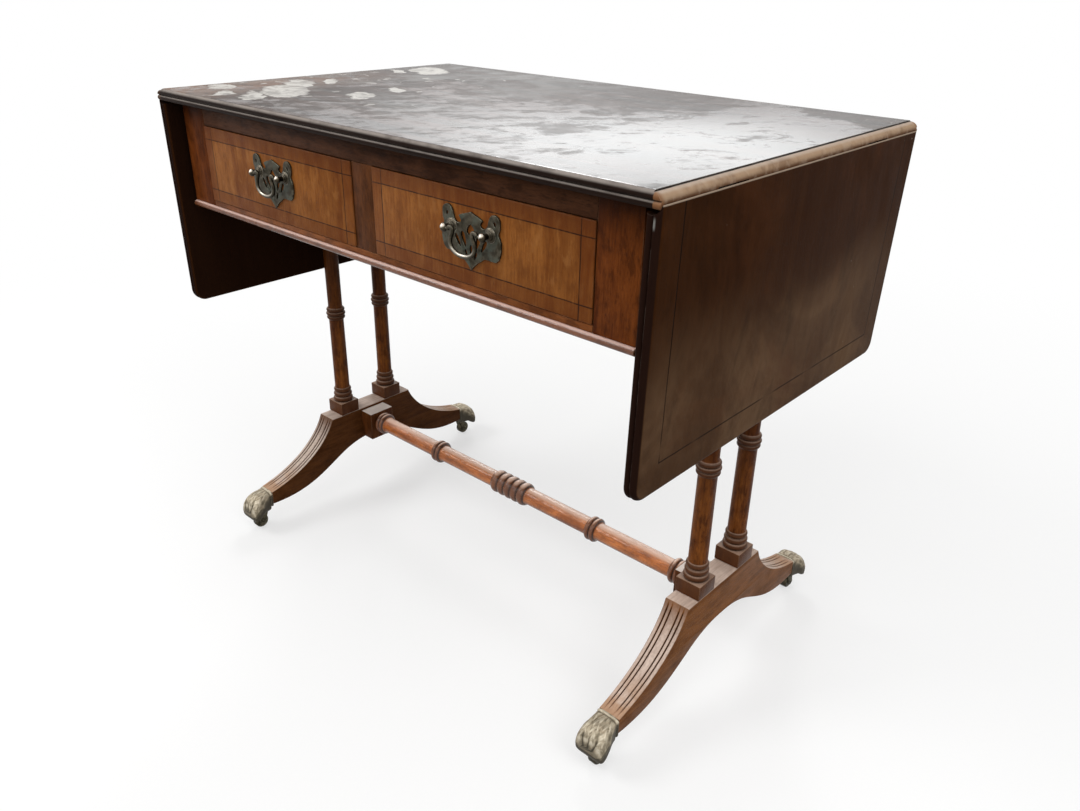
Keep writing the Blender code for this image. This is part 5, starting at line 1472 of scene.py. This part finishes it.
def make_table():
    """All the dressed pieces."""
    polish = {name: rubbed_wood(name, *wood, **marks) for name, (*wood, marks) in POLISHES.items()}
    brass = {name: old_brass(name, *tones, **marks) for name, (*tones, marks) in BRASSES.items()}
    make_top(polished_top_wood(), table_edge_wood())
    leaf_finish = leaf_wood()
    for label, side in SIDES:
        make_leaf(label, side, leaf_finish)
    make_frieze(polish)
    make_drawers(brass)
    make_base(polish, brass)


# Camera, lamps and floor


def make_camera():
    """Camera at the photo's viewpoint."""
    sideways, forward = math.sin(CAMERA_YAW), math.cos(CAMERA_YAW)
    level_reach = math.cos(CAMERA_PITCH)
    ahead = Vector((sideways * level_reach, forward * level_reach, -math.sin(CAMERA_PITCH)))
    level = Vector((forward, -sideways, 0))
    rising = level.cross(ahead)
    right = math.cos(CAMERA_ROLL) * level + math.sin(CAMERA_ROLL) * rising
    up = math.cos(CAMERA_ROLL) * rising - math.sin(CAMERA_ROLL) * level
    data = bpy.data.cameras.new("camera")
    data.sensor_width = SENSOR
    data.lens = PHOTO_FOCAL / PHOTO_WIDTH * SENSOR
    camera = bpy.data.objects.new("camera", data)
    turn = Matrix((right, up, -ahead)).transposed().to_4x4()
    camera.matrix_world = Matrix.Translation(CAMERA_AT) @ turn
    bpy.context.scene.collection.objects.link(camera)
    bpy.context.scene.camera = camera


def add_softbox(name, at, aim, width, height, radiance, tint):
    """Soft lamp of a given surface brightness, facing a point."""
    data = bpy.data.lights.new(name, "AREA")
    data.shape = "ELLIPSE"
    data.size = width
    data.size_y = height
    data.energy = radiance * math.pi * width * height * math.pi / 4
    data.color = tint
    lamp = bpy.data.objects.new(name, data)
    facing = (Vector(aim) - Vector(at)).to_track_quat("-Z", "Y").to_matrix().to_4x4()
    lamp.matrix_world = Matrix.Translation(at) @ facing
    lamp.visible_camera = False
    bpy.context.scene.collection.objects.link(lamp)


def looked_at(wire):
    """1 for what the camera, a gloss or a glass sees, and 0 for light that bounces."""
    seen = wire.node("LightPath", out="Is Camera Ray")
    for way in ("Is Glossy Ray", "Is Transmission Ray"):
        seen = seen.most(wire.node("LightPath", out=way))
    return seen


def floor_paint():
    """Pale paint that keeps the shadow near the table and fades to white around it."""
    finish = Finish("pale_floor_paint", Specular_IOR_Level=0.0, Roughness=1.0)
    spot = finish.spot()
    grain = spot.noise(400.0, 3.0)
    seen = looked_at(finish.wire)
    finish.set(Base_Color=seen.blend(FLOOR_BOUNCE, grain.blend(*FLOOR_PALE)))
    far = (FLOOR_WHITE_FROM + spot.length().rise(0.45, 1.6) * (1 - FLOOR_WHITE_FROM)) * seen
    white = finish.wire.node("Emission", None, {"Color": (1, 1, 1, 1), "Strength": 1.0})
    base = Wire(finish.tree, finish.shader.outputs[0])
    both = finish.wire.node("MixShader", None, {0: far, 1: base, 2: white})
    finish.wire.plug(finish.tree.nodes["Material Output"].inputs["Surface"], both)
    return finish.material


def make_studio():
    """White surroundings, soft lamps and a pale floor."""
    world = bpy.data.worlds.new("studio")
    bpy.context.scene.world = world
    world.use_nodes = True
    wire = Wire(world.node_tree)
    backdrop = world.node_tree.nodes["Background"]
    backdrop.inputs["Color"].default_value = (1, 1, 1, 1)
    wire.plug(backdrop.inputs["Strength"], WORLD_LIGHT + looked_at(wire) * (1 - WORLD_LIGHT))
    for name, lamp in SOFTBOXES.items():
        add_softbox(name, *lamp)
    shape = bmesh.new()
    bmesh.ops.create_circle(shape, cap_ends=True, segments=96, radius=FLOOR_RADIUS)
    mesh = bpy.data.meshes.new("pale_floor")
    shape.to_mesh(mesh)
    shape.free()
    mesh.materials.append(floor_paint())
    floor = bpy.data.objects.new("pale_floor", mesh)
    bpy.context.scene.collection.objects.link(floor)
    bpy.context.scene.view_settings.view_transform = "Standard"


make_camera()
make_table()
make_studio()
